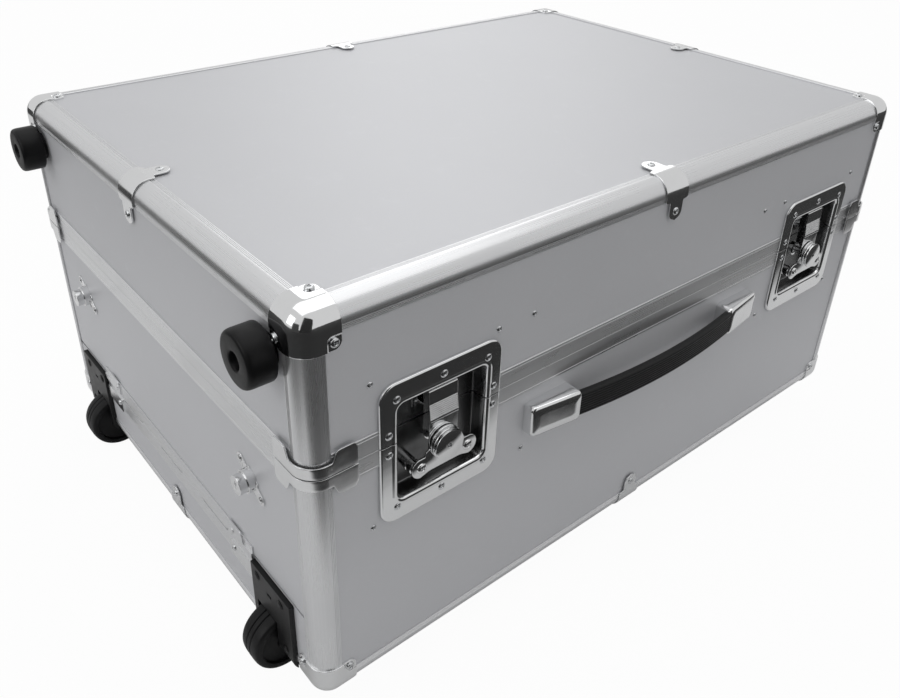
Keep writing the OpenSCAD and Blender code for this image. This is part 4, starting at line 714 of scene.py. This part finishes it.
def build_corner_caps():
    """Sheet over a corner: each face's outline in polar steps, pressed onto a block whose edges
    and corner are rounded, point = inner + (r + t) (q - inner) / |q - inner| with inner =
    max(q, r). The thickness t rolls down at the outline, and sinks in the pocket round the
    rivet, a square whose corners are blended."""
    t = trim()
    r, sheet, roll, pocket, blend = t.rounding, t.sheet, 0.4, 5.0, 4.0
    angle = np.unique(np.concatenate([np.linspace(0, np.pi / 2, 49),
                                      np.pi / 4 + np.radians(np.linspace(-14, 14, 37))]))
    reach = cap_reach_at(angle, t.cap_reach + sheet, t.cap_round)
    bend = np.radians(np.linspace(0, 90, 5))
    share = np.concatenate([np.linspace(0, 0.56, 13)[:-1], np.linspace(0.56, 1, 24)])[:-1]
    steps = np.vstack([share[:, None] * (reach - roll),
                       reach - roll + roll * np.sin(bend)[:, None], reach[None]])
    flat = steps[..., None] * np.stack([np.cos(angle), np.sin(angle)], -1)
    thick = np.concatenate([np.full(len(share), sheet), sheet - roll * (1 - np.cos(bend)),
                            [-t.inset]])
    sides = flat - t.cap_rivet - sheet + pocket
    corner = np.maximum(blend - np.abs(sides[..., 0] - sides[..., 1]), 0)
    sunk = np.clip(sides.min(-1) - corner ** 2 / (4 * blend), 0, 1)
    thick = thick[:, None] - t.cap_sink * sunk ** 2 * (3 - 2 * sunk)
    face = np.concatenate([flat, np.zeros((*flat.shape[:2], 1))], -1)
    inner = np.maximum(face, r + sheet)
    way = (face - inner) / np.linalg.norm(face - inner, axis=-1, keepdims=True)
    one = grid(inner + (r + thick[..., None]) * way - sheet).flipped()
    turns = ([[0, 0, 1], [1, 0, 0], [0, 1, 0]], [[0, 1, 0], [0, 0, 1], [1, 0, 0]])
    cap = sum([one, *[one.turned(turn) for turn in turns]])
    for body in (BODY, LID):
        piece(NAMED[body] + "caps", mirrored_all(cap, body == LID), "polished_metal", body,
              NAMED[body] + "corner_caps", angle=50)


def strap_path(reach):
    """Outer line of a sheet bent round an edge, from a tip on one face to a tip on the other."""
    t = trim()
    r, tip = t.rounding, np.array([reach, -t.sheet])
    share = np.linspace(0, 1, 21)[:, None] ** 0.8
    first = tip + share * (np.array([r + 0.05, -t.sheet]) - tip)
    return np.vstack([first, arc((r, r), r + t.sheet, -90, -180, 17), first[::-1, ::-1]])


def ring_bracket():
    """The bent line carried up from near the split: low round the edge, with an ear of rounded
    corners on each face."""
    reach, ear, low, foot, r, leg = 36.0, 17.5, 9.0, 0.45, 4.0, trim().leg
    path = strap_path(reach)
    run = path.max(1)
    past = np.maximum(run - reach + r, np.clip(leg + 5.5 - run, 0, r))
    top = ear - r + np.sqrt(np.maximum(r ** 2 - past ** 2, 0))
    high = low + np.clip((run - leg + 0.5) / 2, 0, 1) * (top - low)
    heights = foot + (high - foot)[:, None] * np.linspace(0, 1, 5)
    return grid(np.concatenate([np.repeat(path[:, None, :], 5, 1), heights[..., None]], -1))


def saddle_clip():
    """The bent line carried across: broad round the edge, with a round tongue on each face."""
    reach, r, broad = 34.7, 7.5, 13.0
    path = strap_path(reach)
    run = path.max(1)
    tongue = np.sqrt(np.maximum(r ** 2 - np.maximum(run - reach + r, 0) ** 2, 0.01))
    wide = np.clip((trim().leg + 1.5 - run) / 1.5, 0, 1)
    half = tongue + wide * wide * (3 - 2 * wide) * (broad - tongue)
    across = half[:, None, None] * np.linspace(-1, 1, 7)[None, :, None]
    return grid(np.concatenate([across, np.repeat(path[:, None, :], 7, 1)], -1)).flipped()


def strap(name, shell, body, node):
    """A piece of bent sheet."""
    soften(piece(name, shell, "chrome_fittings", body, node), 0.28, sheet=trim().sheet * 0.96)


def build_brackets_and_clips():
    """Ring brackets at the split, bars at the door's sill, and clips at the edges' middles."""
    size, split = HIGH - LOW, SPLIT - LOW[2]
    ring, clip = ring_bracket(), saddle_clip()
    strap("lid_brackets", mirrored_all(ring.moved(0, 0, split)), LID, "lid_ring_brackets")
    strap("body_brackets", mirrored_all(ring.turned(np.diag((1, 1, -1)), (0, 0, split))), BODY,
          "body_ring_brackets")
    bars = []
    for low, high in solids_of("body_ring_brackets"):
        if high[2] < SPLIT - 60:            # the two at the service door's sill
            outline = rounded_rect(high[1] - low[1], high[2] - low[2], 2.5)
            y, z = (low + high)[1:] / 2
            bars.append(extrude(outline, (low[0], y, z), (high[0] + 0.3, y, z), (0, 1, 0),
                                (0, 0, 1)))
    soften(piece("sill_brackets", sum(bars), "chrome_fittings", BODY), 0.25)
    front = clip.moved(size[0] / 2, 0, 0)
    side = clip.turned([[0, 1, 0], [1, 0, 0], [0, 0, 1]], (0, size[1] / 2, 0))
    strap("body_clips", mirrored(front, (1, 1, 1), (1, -1, 1)) + mirrored(side, (1, 1, 1)), BODY,
          "body_saddle_clips")
    strap("lid_clips", mirrored(front, (1, 1, -1), (1, -1, -1))
          + mirrored(side, (1, 1, -1), (-1, 1, -1)), LID, "lid_saddle_clips")


def rivet_shell(radius, height):
    """Blind rivet: domed head, rolled rim and a sunk centre, turned about its axis."""
    profile = [(0, -0.35), (0.30, -0.35), (0.36, 0.62), (0.46, 0.96), (0.62, 0.93), (0.84, 0.66),
               (0.97, 0.30), (1.0, 0.0), (1.0, -0.5)]
    return lathe(np.array(profile) * [radius, height], 20)


def head_in_place(low, high):
    """A rivet in a head's place: its axis is the shortest side, pointing out of the case."""
    size, middle = high - low, (low + high) / 2
    axis = int(np.argmin(size))
    way = np.zeros(3)
    way[axis] = 1 if middle[axis] > MID[axis] else -1
    head = rivet_shell(np.delete(size, axis).max() / 2, size[axis])
    return head.turned(aim(way), middle - way * size[axis] / 2)


def build_rivets():
    """A rivet in the place of each of the nodes' heads."""
    for body, name in NAMED.items():
        heads = sum(head_in_place(*box) for box in solids_of(name + "rivets"))
        piece(name + "rivet_heads", heads, "fastener_steel", body, name + "rivets", angle=50)


# ---- latches -----------------------------------------------------------------------------

def outline_of(inside, centre, count):
    """Outline of a region: the farthest point inside it on each ray from centre."""
    angle = np.linspace(0, 2 * np.pi, count, endpoint=False)
    way = np.stack([np.cos(angle), np.sin(angle)], -1)
    step = np.linspace(0, 40.0, 1600)
    held = inside(centre + step[:, None, None] * way) < 0
    far = step[len(step) - 1 - np.argmax(held[::-1], axis=0)]
    return centre + far[:, None] * way


def outwards(outline):
    """Unit normals of a closed anticlockwise outline."""
    run = np.roll(outline, -1, 0) - np.roll(outline, 1, 0)
    normal = np.stack([run[:, 1], -run[:, 0]], -1)
    return normal / np.linalg.norm(normal, axis=1, keepdims=True)


def slab(outline, low, high, roll):
    """A plate with rolled edges: the outline moved in by roll (1 - cos) and up by roll sin."""
    bend = np.radians(np.linspace(0, 90, 5))
    rise, fall = roll * (1 - np.cos(bend)), roll * (1 - np.sin(bend))
    rings = outline - np.concatenate([fall, rise])[:, None, None] * outwards(outline)
    height = np.concatenate([low + rise, high - fall])[:, None, None] + 0 * rings[..., :1]
    points = np.concatenate([rings, height], -1)
    ends = end_face(points[-1]) + end_face(points[0], flip=True)
    return grid(points, round_v=True).flipped() + ends


def half_loop(w, h, r, cut, way):
    """Part of a rounded rectangle's outline above the height cut, for way 1, or below it."""
    x, z = w / 2 - r, h / 2 - r
    turn = np.vstack([arc((x, z), r, 0, 90, 10), arc((-x, z), r, 90, 180, 10)])
    return np.vstack([[[way * w / 2, cut]], way * turn, [[-way * w / 2, cut]]])


def dish_shell(way, flange, cut):
    """Half of a pressed dish: rounded rectangles lofted from the flange over its rolled rim, down
    the drafted wall and over the floor, which closes on the middle of the cut."""
    hw, top = hardware(), trim().sheet
    w, h, deep = hw.dish_w, hw.dish_h, hw.dish_depth
    rims = [(0, 0, -1.1), (0, 0, 0.1), (0.25, 0, 0.45), (1.0, 0.4, 0.8), (2.2, 1, 0.95)]
    walls = [(8.5, 10, 0.95), (7.2, 9.4, 1.1), (5.4, 8.6, top + 0.25), (3.4, 7.8, top + 0.3),
             (1.6, 6.9, top - 0.1), (0.4, 6.3, top - 1.0), (0, 6, -1.2), (-1.2, 5.6, 2.6 - deep),
             (-1.9, 5.2, 1.2 - deep), (-3.4, 4.5, 0.35 - deep), (-5.4, 3.6, -deep)]
    steps = [(flange[0] - a, flange[1] - a, hw.flange_round - b, out) for a, b, out in rims]
    steps += [(w + a, h + a, r, out) for a, r, out in walls]
    rings = [np.insert(half_loop(a, b, r, cut, way), 1, -out, axis=1) for a, b, r, out in steps]
    hub = np.array([0.0, deep, cut])
    rings += [hub + (rings[-1] - hub) * k for k in (0.66, 0.33, 0.0)]
    return grid(np.array(rings))


LOBE = (20, -13)                    # middle of a knob's right lobe from its axis


def wing_shape(points):
    """Distance-like value of the twist wing: a disc and two lobes joined softly, flat below."""
    x, z = np.abs(points[..., 0]), points[..., 1]

    def bar(half, height, r):
        return np.hypot(np.maximum(x - half, 0), z - height) - r

    disc, neck, soft = bar(0, 0, 12.6), bar(*LOBE, 7.2), 4.0
    mix = np.clip(0.5 + 0.5 * (neck - disc) / soft, 0, 1)
    joined = neck + (disc - neck) * mix - soft * mix * (1 - mix)
    lobe = np.hypot(x - LOBE[0], z - LOBE[1]) - 8
    below = LOBE[1] - 5.6 - z - 0.08 * np.maximum(x - 12, 0) ** 1.6
    return np.maximum(np.minimum(np.minimum(joined, bar(11.5, -5.5, 5.5)), lobe), below)


def knob_shell():
    """Twist knob: spindle, wing plate with rolled edges, stepped disc with a centre hole and a
    rivet on each lobe. Drawn along z, which points out of the case, 0 at the case face."""
    base, top = 3.0, 4.5
    wing = slab(outline_of(wing_shape, (0, -8), 160), base, top, 0.45)
    disc = lathe([(0, 6.0), (1.5, 6.0), (1.6, 9.3), (1.8, 9.5), (10.9, 9.5), (11.6, 9.2),
                  (11.8, 8.6), (11.8, 7.9), (11.2, 7.6), (11.2, 7.1), (11.8, 6.8), (12, 6.3),
                  (12, 5.2), (11.6, 4.7), (11.0, 4.4)], 64)
    spindle = lathe([(4, 3.4), (4, -11.7), (0, -11.7)], 32)
    heads = [rivet_shell(4.2, 1.5).moved(x, LOBE[1], top) for x in (-LOBE[0], LOBE[0])]
    return sum([wing, disc, spindle, *heads])


def hook_plate(w, low, high, slot, lift, r):
    """Front plate with a slot, as loops of points at equal angles about the slot's middle: the
    rectangle's nearest side on each ray, and the farthest of two circles and the bar between."""
    middle = slot + lift / 2
    corners = np.arctan2(*np.meshgrid([low - middle, high - middle], [-w / 2, w / 2])).ravel()
    a = np.unique(np.concatenate([np.linspace(-np.pi, np.pi, 73)[:-1], corners]))
    c, s = np.cos(a), np.sin(a)
    outer = np.minimum(w / 2 / np.maximum(np.abs(c), 1e-6),
                       np.where(s > 0, high - middle, middle - low) / np.maximum(np.abs(s), 1e-6))
    circle = np.abs(s) * lift / 2 + np.sqrt(np.maximum(r * r - (c * lift / 2) ** 2, 0))
    circle = np.where(np.abs(c) * lift / 2 < r, circle, 0)
    bar = np.minimum(r / np.maximum(np.abs(c), 1e-6), lift / 2 / np.maximum(np.abs(s), 1e-6))
    inner = np.maximum(circle, bar)
    loops = [np.stack([d * c, np.full_like(a, y), middle + d * s], -1)
             for d, y in ((outer, 0.0), (inner, 0.0), (inner, 1.5), (outer, 1.5))]
    return grid(np.array(loops), round_u=True, round_v=True).flipped()


def hook_top(w, rise, top, deep):
    """Upper end of the hook, a section of (depth, height) carried across it: a rolled lip, a
    leaning face with fine ribs, the roof and the claw behind."""
    share = np.linspace(0, 1, 49)
    ribs = np.stack([-0.35 + 1.45 * share - 0.25 * np.sin(8 * np.pi * share) ** 2,
                     rise + 2.2 + 11.8 * share], -1)
    lip = [(0, rise), (-0.42, rise + 0.3), (-0.5, rise + 1.0), (-0.42, rise + 1.7)]
    claw = [(1.1, top - 1.3), (1.5, top - 0.5), (2.4, top), (deep - 0.6, top), (deep, top - 0.6),
            (deep, top - 3.5), (deep - 1.5, top - 3.5), (deep - 1.5, top - 1.5), (2.3, top - 1.5),
            (2.3, rise + 14), (1.5, rise + 2), (1.5, rise)]
    cheek = [(0.3, rise - 7), (0.3, rise + 2), (1.5, rise + 14), (1.5, top - 0.7),
             (deep - 0.05, top - 0.7), (deep - 0.05, rise - 7)]

    def across(section, start, end):
        return extrude(section, (start, 0, 0), (end, 0, 0), (0, 1, 0), (0, 0, 1))

    side = w / 2 - 0.05
    return (across(np.vstack([lip, ribs, claw]), -w / 2, w / 2)
            + across(cheek, -side, 1.45 - side) + across(cheek, side - 1.45, side))


def build_latches():
    """Dishes, then for each latch its knob, its hook, and the bush and barrel on the floor."""
    face, deep = LOW[1], hardware().dish_depth
    outwards_turn = np.array([[1, 0, 0], [0, 0, -1], [0, 1, 0]])
    halves = {"lower": [], "upper": []}
    for (low, cut_low), (cut_high, high) in zip(left_to_right("latch_dishes_lower"),
                                                left_to_right("latch_dishes_upper")):
        x, z = (low[0] + cut_low[0]) / 2, (low[2] + high[2]) / 2
        flange = (cut_low[0] - low[0], high[2] - low[2])
        for side, way, cut in (("lower", -1, cut_low[2]), ("upper", 1, cut_high[2])):
            halves[side].append(dish_shell(way, flange, cut - z).moved(x, face, z))
    for side, body in (("lower", BODY), ("upper", LID)):
        soften(piece("latch_dish_" + side, sum(halves[side]), "latch_chrome", body,
                     "latch_dishes_" + side, "latch_dish", angle=40), 0.15, segments=1, sheet=0.7)
    bush = lathe([(4.1, 0), (4.1, 3), (6.4, 3), (7, 2.5), (7, -0.4)], 40)
    barrel = lathe([(0, 14), (4.2, 14), (5, 13.3), (5, 9.5), (4.5, 9.2), (4.5, 8.6), (5, 8.3),
                    (5, -0.4)], 32)
    axis_drop, barrel_off, barrel_drop, lift, slot_r = 13.5, 23, 13, 8.0, 4.5
    posts = []
    for side in ("left_", "right_"):
        low, high = node_box(side + "latch_knob")
        x, z = (low[0] + high[0]) / 2, high[2] - axis_drop
        piece(side + "twist_knob", knob_shell().turned(outwards_turn, (x, face, z)),
              "latch_chrome", side + "knob", side + "latch_knob", angle=40)
        start, end = node_box(side + "latch_hook")
        w, rise = end[0] - start[0], SPLIT + 3
        hook = (hook_plate(w, start[2], rise, z, lift, slot_r)
                + hook_top(w, rise, end[2], end[1] - start[1]))
        soften(piece(side + "draw_hook", hook.moved(x, start[1], 0), "latch_chrome",
                     side + "hook", side + "latch_hook", angle=40), 0.2)
        posts += [bush.turned(outwards_turn, (x, face + deep, z)),
                  barrel.turned(outwards_turn, (x - barrel_off, face + deep, z - barrel_drop))]
    piece("latch_posts", sum(posts), "latch_chrome", BODY, angle=40)
    dress("latch_keepers", "latch_chrome", 0.3)


# ---- carry handle, wheels and feet -------------------------------------------------------

def handle_block(side, w, tall, thick):
    """Rounded rectangles whose depth falls by a step to the outer end, closed in front."""
    fall = 6.0
    rings = []
    for inset, share, r in ((0, 0.0, 4.1), (0, 0.72, 4.1), (0.25, 0.85, 4.1), (0.9, 0.95, 4.0),
                            (2.2, 1.0, 3.6), (8, 1.0, 2.6)):
        ring = rounded_rect(w - 2 * inset, tall - 2 * inset, r)
        inwards = np.clip((0.5 - ring[:, 0] * side / w) * 1.06, 0, 1)
        depth = (thick - fall + fall * inwards) * share
        rings.append(np.stack([ring[:, 0], -depth, ring[:, 1]], -1))
    return grid(np.array(rings), round_v=True).flipped() + end_face(rings[-1])


def grip_section(w, h):
    """Rounded rectangle w by h with fine cosine ribs on both long faces."""
    ribs, edge = max(hardware().grip_ribs, 1), 2.6
    z = np.linspace(edge - h / 2, h / 2 - edge, 8 * ribs)
    ridge = 0.22 * (np.cos((z + h / 2 - edge) / (h - 2 * edge) * 2 * np.pi * ribs) - 1)
    right = np.stack([w / 2 + ridge, z], -1)
    outline = rounded_rect(w, h, 2.4, 7)
    half = len(outline) // 2
    return np.vstack([right, outline[:half], (right * [-1, 1])[::-1], outline[half:]])


def build_carry_handle():
    """Blocks, and the grip: its section carried along a circle's arc through its two ends."""
    low, high = node_box("carry_handle_ends")
    size, (x, _, z) = high - low, (low + high) / 2
    block_w = 47.0
    off = (size[0] - block_w) / 2
    blocks = sum(handle_block(side, block_w, size[2], size[1]).moved(x + side * off, high[1], z)
                 for side in (-1, 1))
    piece("carry_handle_blocks", blocks, "chrome_fittings", BODY, "carry_handle_ends", angle=40)

    low, high = node_box("carry_handle_grip")
    thick, half = 7.0, (high[0] - low[0]) / 2
    bow = high[1] - low[1] - thick
    radius = (half * half + bow * bow) / (2 * bow)
    a = np.linspace(-1, 1, 61)[:, None] * math.asin(half / radius)
    across, up = grip_section(thick, high[2] - low[2]).T
    far = radius + across
    points = np.stack([far * np.sin(a), -far * np.cos(a), up + 0 * a], -1)
    shell = grid(points, round_v=True) + end_face(points[0], flip=True) + end_face(points[-1])
    centre = ((low[0] + high[0]) / 2, low[1] + thick / 2 + radius, (low[2] + high[2]) / 2)
    piece("carry_grip", shell.moved(*centre), "black_plastic", BODY, "carry_handle_grip", angle=50)


def foot_shell(r, h):
    """Rubber foot: narrow neck on the panel, body with a rolled base, broad rounded rim and a
    stepped recess."""
    neck_r, neck, bore, deep = 11.4, 2.9, 6.0, 9.0
    return lathe([(0, h - deep), (bore - 0.3, h - deep), (bore, h - deep + 0.4), (bore, h - 1.2),
                  (bore + 0.35, h - 0.4), (bore + 1.2, h - 0.05), (bore + 2, h), (r - 3.4, h),
                  (r - 2.2, h - 0.2), (r - 1.1, h - 0.8), (r - 0.45, h - 1.8), (r - 0.15, h - 3.0),
                  (r, h - 5), (r, neck + 1.4), (r - 0.3, neck + 0.5), (r - 1.1, neck),
                  (neck_r + 0.6, neck), (neck_r, neck - 0.5), (neck_r, -1.15)], 72)


def wheel_shell(radius, width):
    """Wheel about z: crowned tyre with round grooves, shouldered rim, recessed web and hub."""
    half, grooves = width / 2, hardware().tread_grooves
    across = np.linspace(-1, 1, 57)
    crown = radius - 0.9 * np.abs(across) ** 4
    for k in range(grooves):
        at = (k + 1) / (grooves + 1) * 1.5 - 0.75
        crown = crown - 0.9 * np.exp(-((across - at) / 0.055) ** 2)
    tread = np.stack([crown, across * (half - 1.8)], -1)
    side = np.array([
        (radius - 1.5, half - 0.9), (radius - 2.4, half - 0.3), (radius - 4, half),
        (radius - 5.5, half), (radius - 6.2, half - 0.4), (radius - 6.6, half - 2.6),
        (9.5, half - 3.0), (8.0, half - 2.4), (7.4, half - 0.6), (6.6, half - 0.1), (3.4, half),
        (3.1, half - 0.3)])
    return lathe(np.vstack([(side * [1, -1])[::-1], tread, side]), 96)


def build_wheels_and_feet():
    """Wheels about their axles; feet along the short way out of their panel, axis 0 or 2."""
    for side in ("front_", "back_"):
        low, high = node_box(side + "wheel")
        shell = wheel_shell((high[0] - low[0]) / 2, high[1] - low[1])
        piece(side + "tyre", shell.turned(aim((0, 1, 0)), (low + high) / 2), "wheel_tyre",
              side + "wheel_body", side + "wheel", angle=32)
    foot_h = 21.5
    for name, body, axis in (("lid_", LID, 0), ("under_", BODY, 2)):
        way, feet = -np.eye(3)[axis], []
        for low, high in solids_of(name + "feet"):
            radius = np.delete(high - low, axis).max() / 2
            root = (low + high) / 2
            root[axis] = low[axis] + foot_h
            feet.append(foot_shell(radius, foot_h).turned(aim(way), root))
        piece(name + "rubber_feet", sum(feet), "black_rubber", body, name + "feet", angle=40)
    dress("wheel_housings", "black_plastic", 0.6, 3)
    dress("wheel_axles", "steel_parts", 0.2)


# ---- the rest of the case ----------------------------------------------------------------

PLAIN = {
    # operator: its nodes, each with its slot and rolled edge in millimetres
    "panels": [
        ("body_wall_panels", "silver_panel", 0.15), ("bottom_panel", "silver_panel", 0.15),
        ("lid_top_panel", "silver_panel", 0.15), ("lid_wall_panels", "silver_panel", 0.15)],
    "service_door": [
        ("door_panel", "silver_panel", 0.25), ("door_rail", "edge_aluminium", 0.12),
        ("sill_rail", "edge_aluminium", 0.12), ("door_hinge_pin", "steel_parts", 0.0),
        ("lock_barrels", "chrome_fittings", 0.25), ("front_lock_button", "chrome_fittings", 0.3),
        ("back_lock_button", "chrome_fittings", 0.3)],
    "lid_hinges": [
        ("hinge_leaves_body", "chrome_fittings", 0.25),
        ("hinge_leaves_lid", "chrome_fittings", 0.25), ("lid_hinge_pins", "steel_parts", 0.3)],
    "tow_handle": [
        ("tow_bezel", "black_plastic", 0.8), ("tow_outer_tubes", "steel_parts", 0.2),
        ("tow_middle_tubes", "chrome_fittings", 0.2), ("tow_grip", "black_plastic", 0.5),
        ("tow_button", "steel_parts", 0.6)],
    "dental_deck": [
        ("deck_plate", "deck_paint", 0.5), ("deck_brackets", "steel_parts", 0.3),
        ("service_panel", "deck_paint", 0.3), ("compressor", "motor_paint", 0.8),
        ("clean_water_bottle", "clear_bottle", 0.5), ("waste_bottle", "amber_bottle", 0.5),
        ("bottle_caps", "blue_plastic", 0.8), ("instrument_rest", "white_plastic", 0.8),
        ("hose_ports", "chrome_fittings", 0.4), ("pressure_gauge", "white_plastic", 0.4),
        ("control_bezels", "white_plastic", 0.5), ("regulator_knob", "black_plastic", 0.3),
        ("water_knob", "blue_plastic", 0.3), ("power_rocker", "green_plastic", 0.5)],
}


# ---- stage -------------------------------------------------------------------------------

CAMERA_AT = (-0.50985, -0.58195, 0.5960)
CAMERA_RIGHT = (0.77237, -0.63469, 0.02457)
CAMERA_DOWN = (-0.29613, -0.39404, -0.87008)
CAMERA_FORWARD = (0.56191, 0.66475, -0.49230)
TABLE_FRONT, TABLE_LEFT = 0.42, 0.62  # metres of pale table that polished pieces reflect
LOOKED_AT = np.array([0, 0, 0.2])   # what the lamps and dark boards face
RECTANGLE = np.array([(-1, -1, 0), (1, -1, 0), (1, 1, 0), (-1, 1, 0)]) / 2


def white_backdrop(name, lit, near, far):
    """White to the camera by the share lit and pale to light that bounces. Reflections see a
    table: the grey near, and far beyond its front and left edges."""
    p = Paint(name)
    ahead = (p.along(1) * -1).over(TABLE_FRONT - 0.02, TABLE_FRONT + 0.03)
    beside = (p.along(0) * -1).over(TABLE_LEFT, TABLE_LEFT + 0.1)
    table = p.blend(ahead.math("MAXIMUM", beside), shade([near] * 3), shade([far] * 3))
    p.finish(Roughness=0.9, Base_Color=p.blend(p.ray("mirror"), shade([0.85] * 3), table))
    glow = p.node("ShaderNodeEmission", Color=(1, 1, 1, 1), Strength=1.0)
    mixed = p.node("ShaderNodeMixShader", _0=p.ray("camera") * lit,
                   _1=Value(p, p.shader.outputs[0]), _2=glow)
    p.feed(p.tree.nodes["Material Output"].inputs["Surface"], mixed)
    return p.material


def board(name, corners, material):
    """A flat rectangle of the stage."""
    mesh = bpy.data.meshes.new(name)
    mesh.from_pydata(corners.tolist(), [], [(0, 1, 2, 3)])
    mesh.materials.append(material)
    obj = placed(name, mesh)
    return obj


def soft_lamp(name, at, size, power):
    """A rectangular lamp that looks at the case."""
    lamp = bpy.data.lights.new(name, "AREA")
    lamp.shape, lamp.energy, (lamp.size, lamp.size_y) = "RECTANGLE", power, size
    turn = Matrix(aim(np.array(at) - LOOKED_AT).tolist()).to_4x4()
    placed(name, lamp).matrix_world = Matrix.Translation(at) @ turn


def flag(name, at, size, grey):
    """A dark board beside the camera that only reflections see."""
    p = Paint(name)
    p.finish(Base_Color=(0, 0, 0, 1), Roughness=1.0, Emission_Color=shade([grey] * 3),
             Emission_Strength=1.0)
    obj = board(name, RECTANGLE * [*size, 0] @ aim(LOOKED_AT - at).T + at, p.material)
    obj.visible_camera = obj.visible_diffuse = obj.visible_shadow = False
    obj.visible_transmission = obj.visible_volume_scatter = False


def build_stage():
    """Floor, world, lamps, dark boards and the photograph's camera."""
    scene = bpy.context.scene
    board("floor", RECTANGLE * 18.0, white_backdrop("floor_white", 0.96, 0.85, 0.018))

    scene.world = bpy.data.worlds.new("studio")
    scene.world.use_nodes = True
    sky = Nodes(scene.world.node_tree)
    to_camera = sky.ray("camera")
    light = sky.ray("mirror") * 0.22 + 0.50
    back = sky.tree.nodes["Background"]
    back.inputs["Color"].default_value = (1, 1, 1, 1)
    sky.feed(back.inputs["Strength"], light * (1 - to_camera) + to_camera)

    soft_lamp("overhead", (0.1, 0.15, 2.2), (2.6, 2.4), 13.5)
    soft_lamp("left_side", (-2.4, 0.2, 1.3), (1.4, 1.4), 8)
    soft_lamp("back_right", (1.6, 2.0, 1.6), (1.6, 1.6), 8)
    flag("dark_board_front", (-0.9, -1.6, 0.55), (2.6, 1.3), 0.02)
    flag("dark_board_left", (-1.7, -0.7, 0.3), (1.3, 0.8), 0.05)

    lens = bpy.data.cameras.new("camera")
    lens.lens, lens.sensor_width = 34.86, 36.0
    lens.shift_x, lens.shift_y = 0.0006, -0.078
    lens.clip_start, lens.clip_end = 0.01, 50.0
    scene.camera = placed("camera", lens)
    turn = np.stack([CAMERA_RIGHT, -np.array(CAMERA_DOWN), -np.array(CAMERA_FORWARD)], 1)
    scene.camera.matrix_world = (Matrix.Translation(CAMERA_AT)
                                 @ Matrix(turn.tolist()).to_4x4())
    scene.view_settings.view_transform = "Standard"


# ---- add-on ------------------------------------------------------------------------------

class PieceOperator:
    """What every operator here does: it runs its build function."""
    bl_options = {"REGISTER", "UNDO"}

    def execute(self, context):
        self.build()
        return {"FINISHED"}


def dress_group(name):
    """Finishes the CAD nodes of one group that keep their shape."""
    for node, slot, width in PLAIN[name]:
        dress(node, slot, width)


def operator(name, label, text, build=None):
    """One operator, which runs a build function or finishes the plain nodes of its name."""
    return type("UNIT_OT_" + name, (PieceOperator, bpy.types.Operator), {
        "bl_idname": "unit." + name, "bl_label": label, "__doc__": text,
        "build": lambda self: build() if build else dress_group(name)})


OPERATORS = [
    operator("edge_profiles", "Edge profiles", "Grooved aluminium edge profiles",
             build_edge_profiles),
    operator("split_bands", "Split bands", "Bands at the split of body and lid",
             build_split_bands),
    operator("panels", "Panels", "Laminated panels"),
    operator("corner_caps", "Corner caps", "Polished corner caps", build_corner_caps),
    operator("brackets", "Brackets and clips", "Ring brackets and saddle clips",
             build_brackets_and_clips),
    operator("rivets", "Rivets", "Rivet and screw heads", build_rivets),
    operator("latches", "Latches", "Latch dishes, twist knobs, hooks and keepers", build_latches),
    operator("carry_handle", "Carry handle", "Blocks and grip of the carry handle",
             build_carry_handle),
    operator("wheels_feet", "Wheels and feet", "Wheels, housings and rubber feet",
             build_wheels_and_feet),
    operator("service_door", "Service door", "Door, rails and push locks"),
    operator("lid_hinges", "Lid hinges", "Hinges at the back"),
    operator("tow_handle", "Tow handle", "Pull-out handle"),
    operator("dental_deck", "Dental deck", "Deck and its equipment"),
    operator("stage", "Stage", "Floor, lamps and camera", build_stage),
]


class UNIT_PT_panel(bpy.types.Panel):
    """Lists the pieces of the dental unit."""
    bl_label = "Dental Unit"
    bl_space_type = "VIEW_3D"
    bl_region_type = "UI"
    bl_category = "Dental Unit"

    def draw(self, context):
        scene = context.scene
        for group in (scene.unit_trim, scene.unit_hardware, scene.unit_colours):
            box = self.layout.box()
            for key in type(group).__annotations__:
                box.prop(group, key)
        for kind in OPERATORS:
            self.layout.operator(kind.bl_idname)


CLASSES = [UnitTrim, UnitHardware, UnitColours, *OPERATORS, UNIT_PT_panel]


def register():
    for kind in CLASSES:
        bpy.utils.register_class(kind)
    bpy.types.Scene.unit_trim = PointerProperty(type=UnitTrim)
    bpy.types.Scene.unit_hardware = PointerProperty(type=UnitHardware)
    bpy.types.Scene.unit_colours = PointerProperty(type=UnitColours)


def unregister():
    del bpy.types.Scene.unit_colours, bpy.types.Scene.unit_hardware, bpy.types.Scene.unit_trim
    for kind in reversed(CLASSES):
        bpy.utils.unregister_class(kind)


def main():
    """Builds everything in order and writes the CAD box and the visual model's box."""
    register()
    for kind in OPERATORS:
        getattr(bpy.ops.unit, kind.bl_idname.split(".")[1])()


if __name__ == "__main__":
    main()
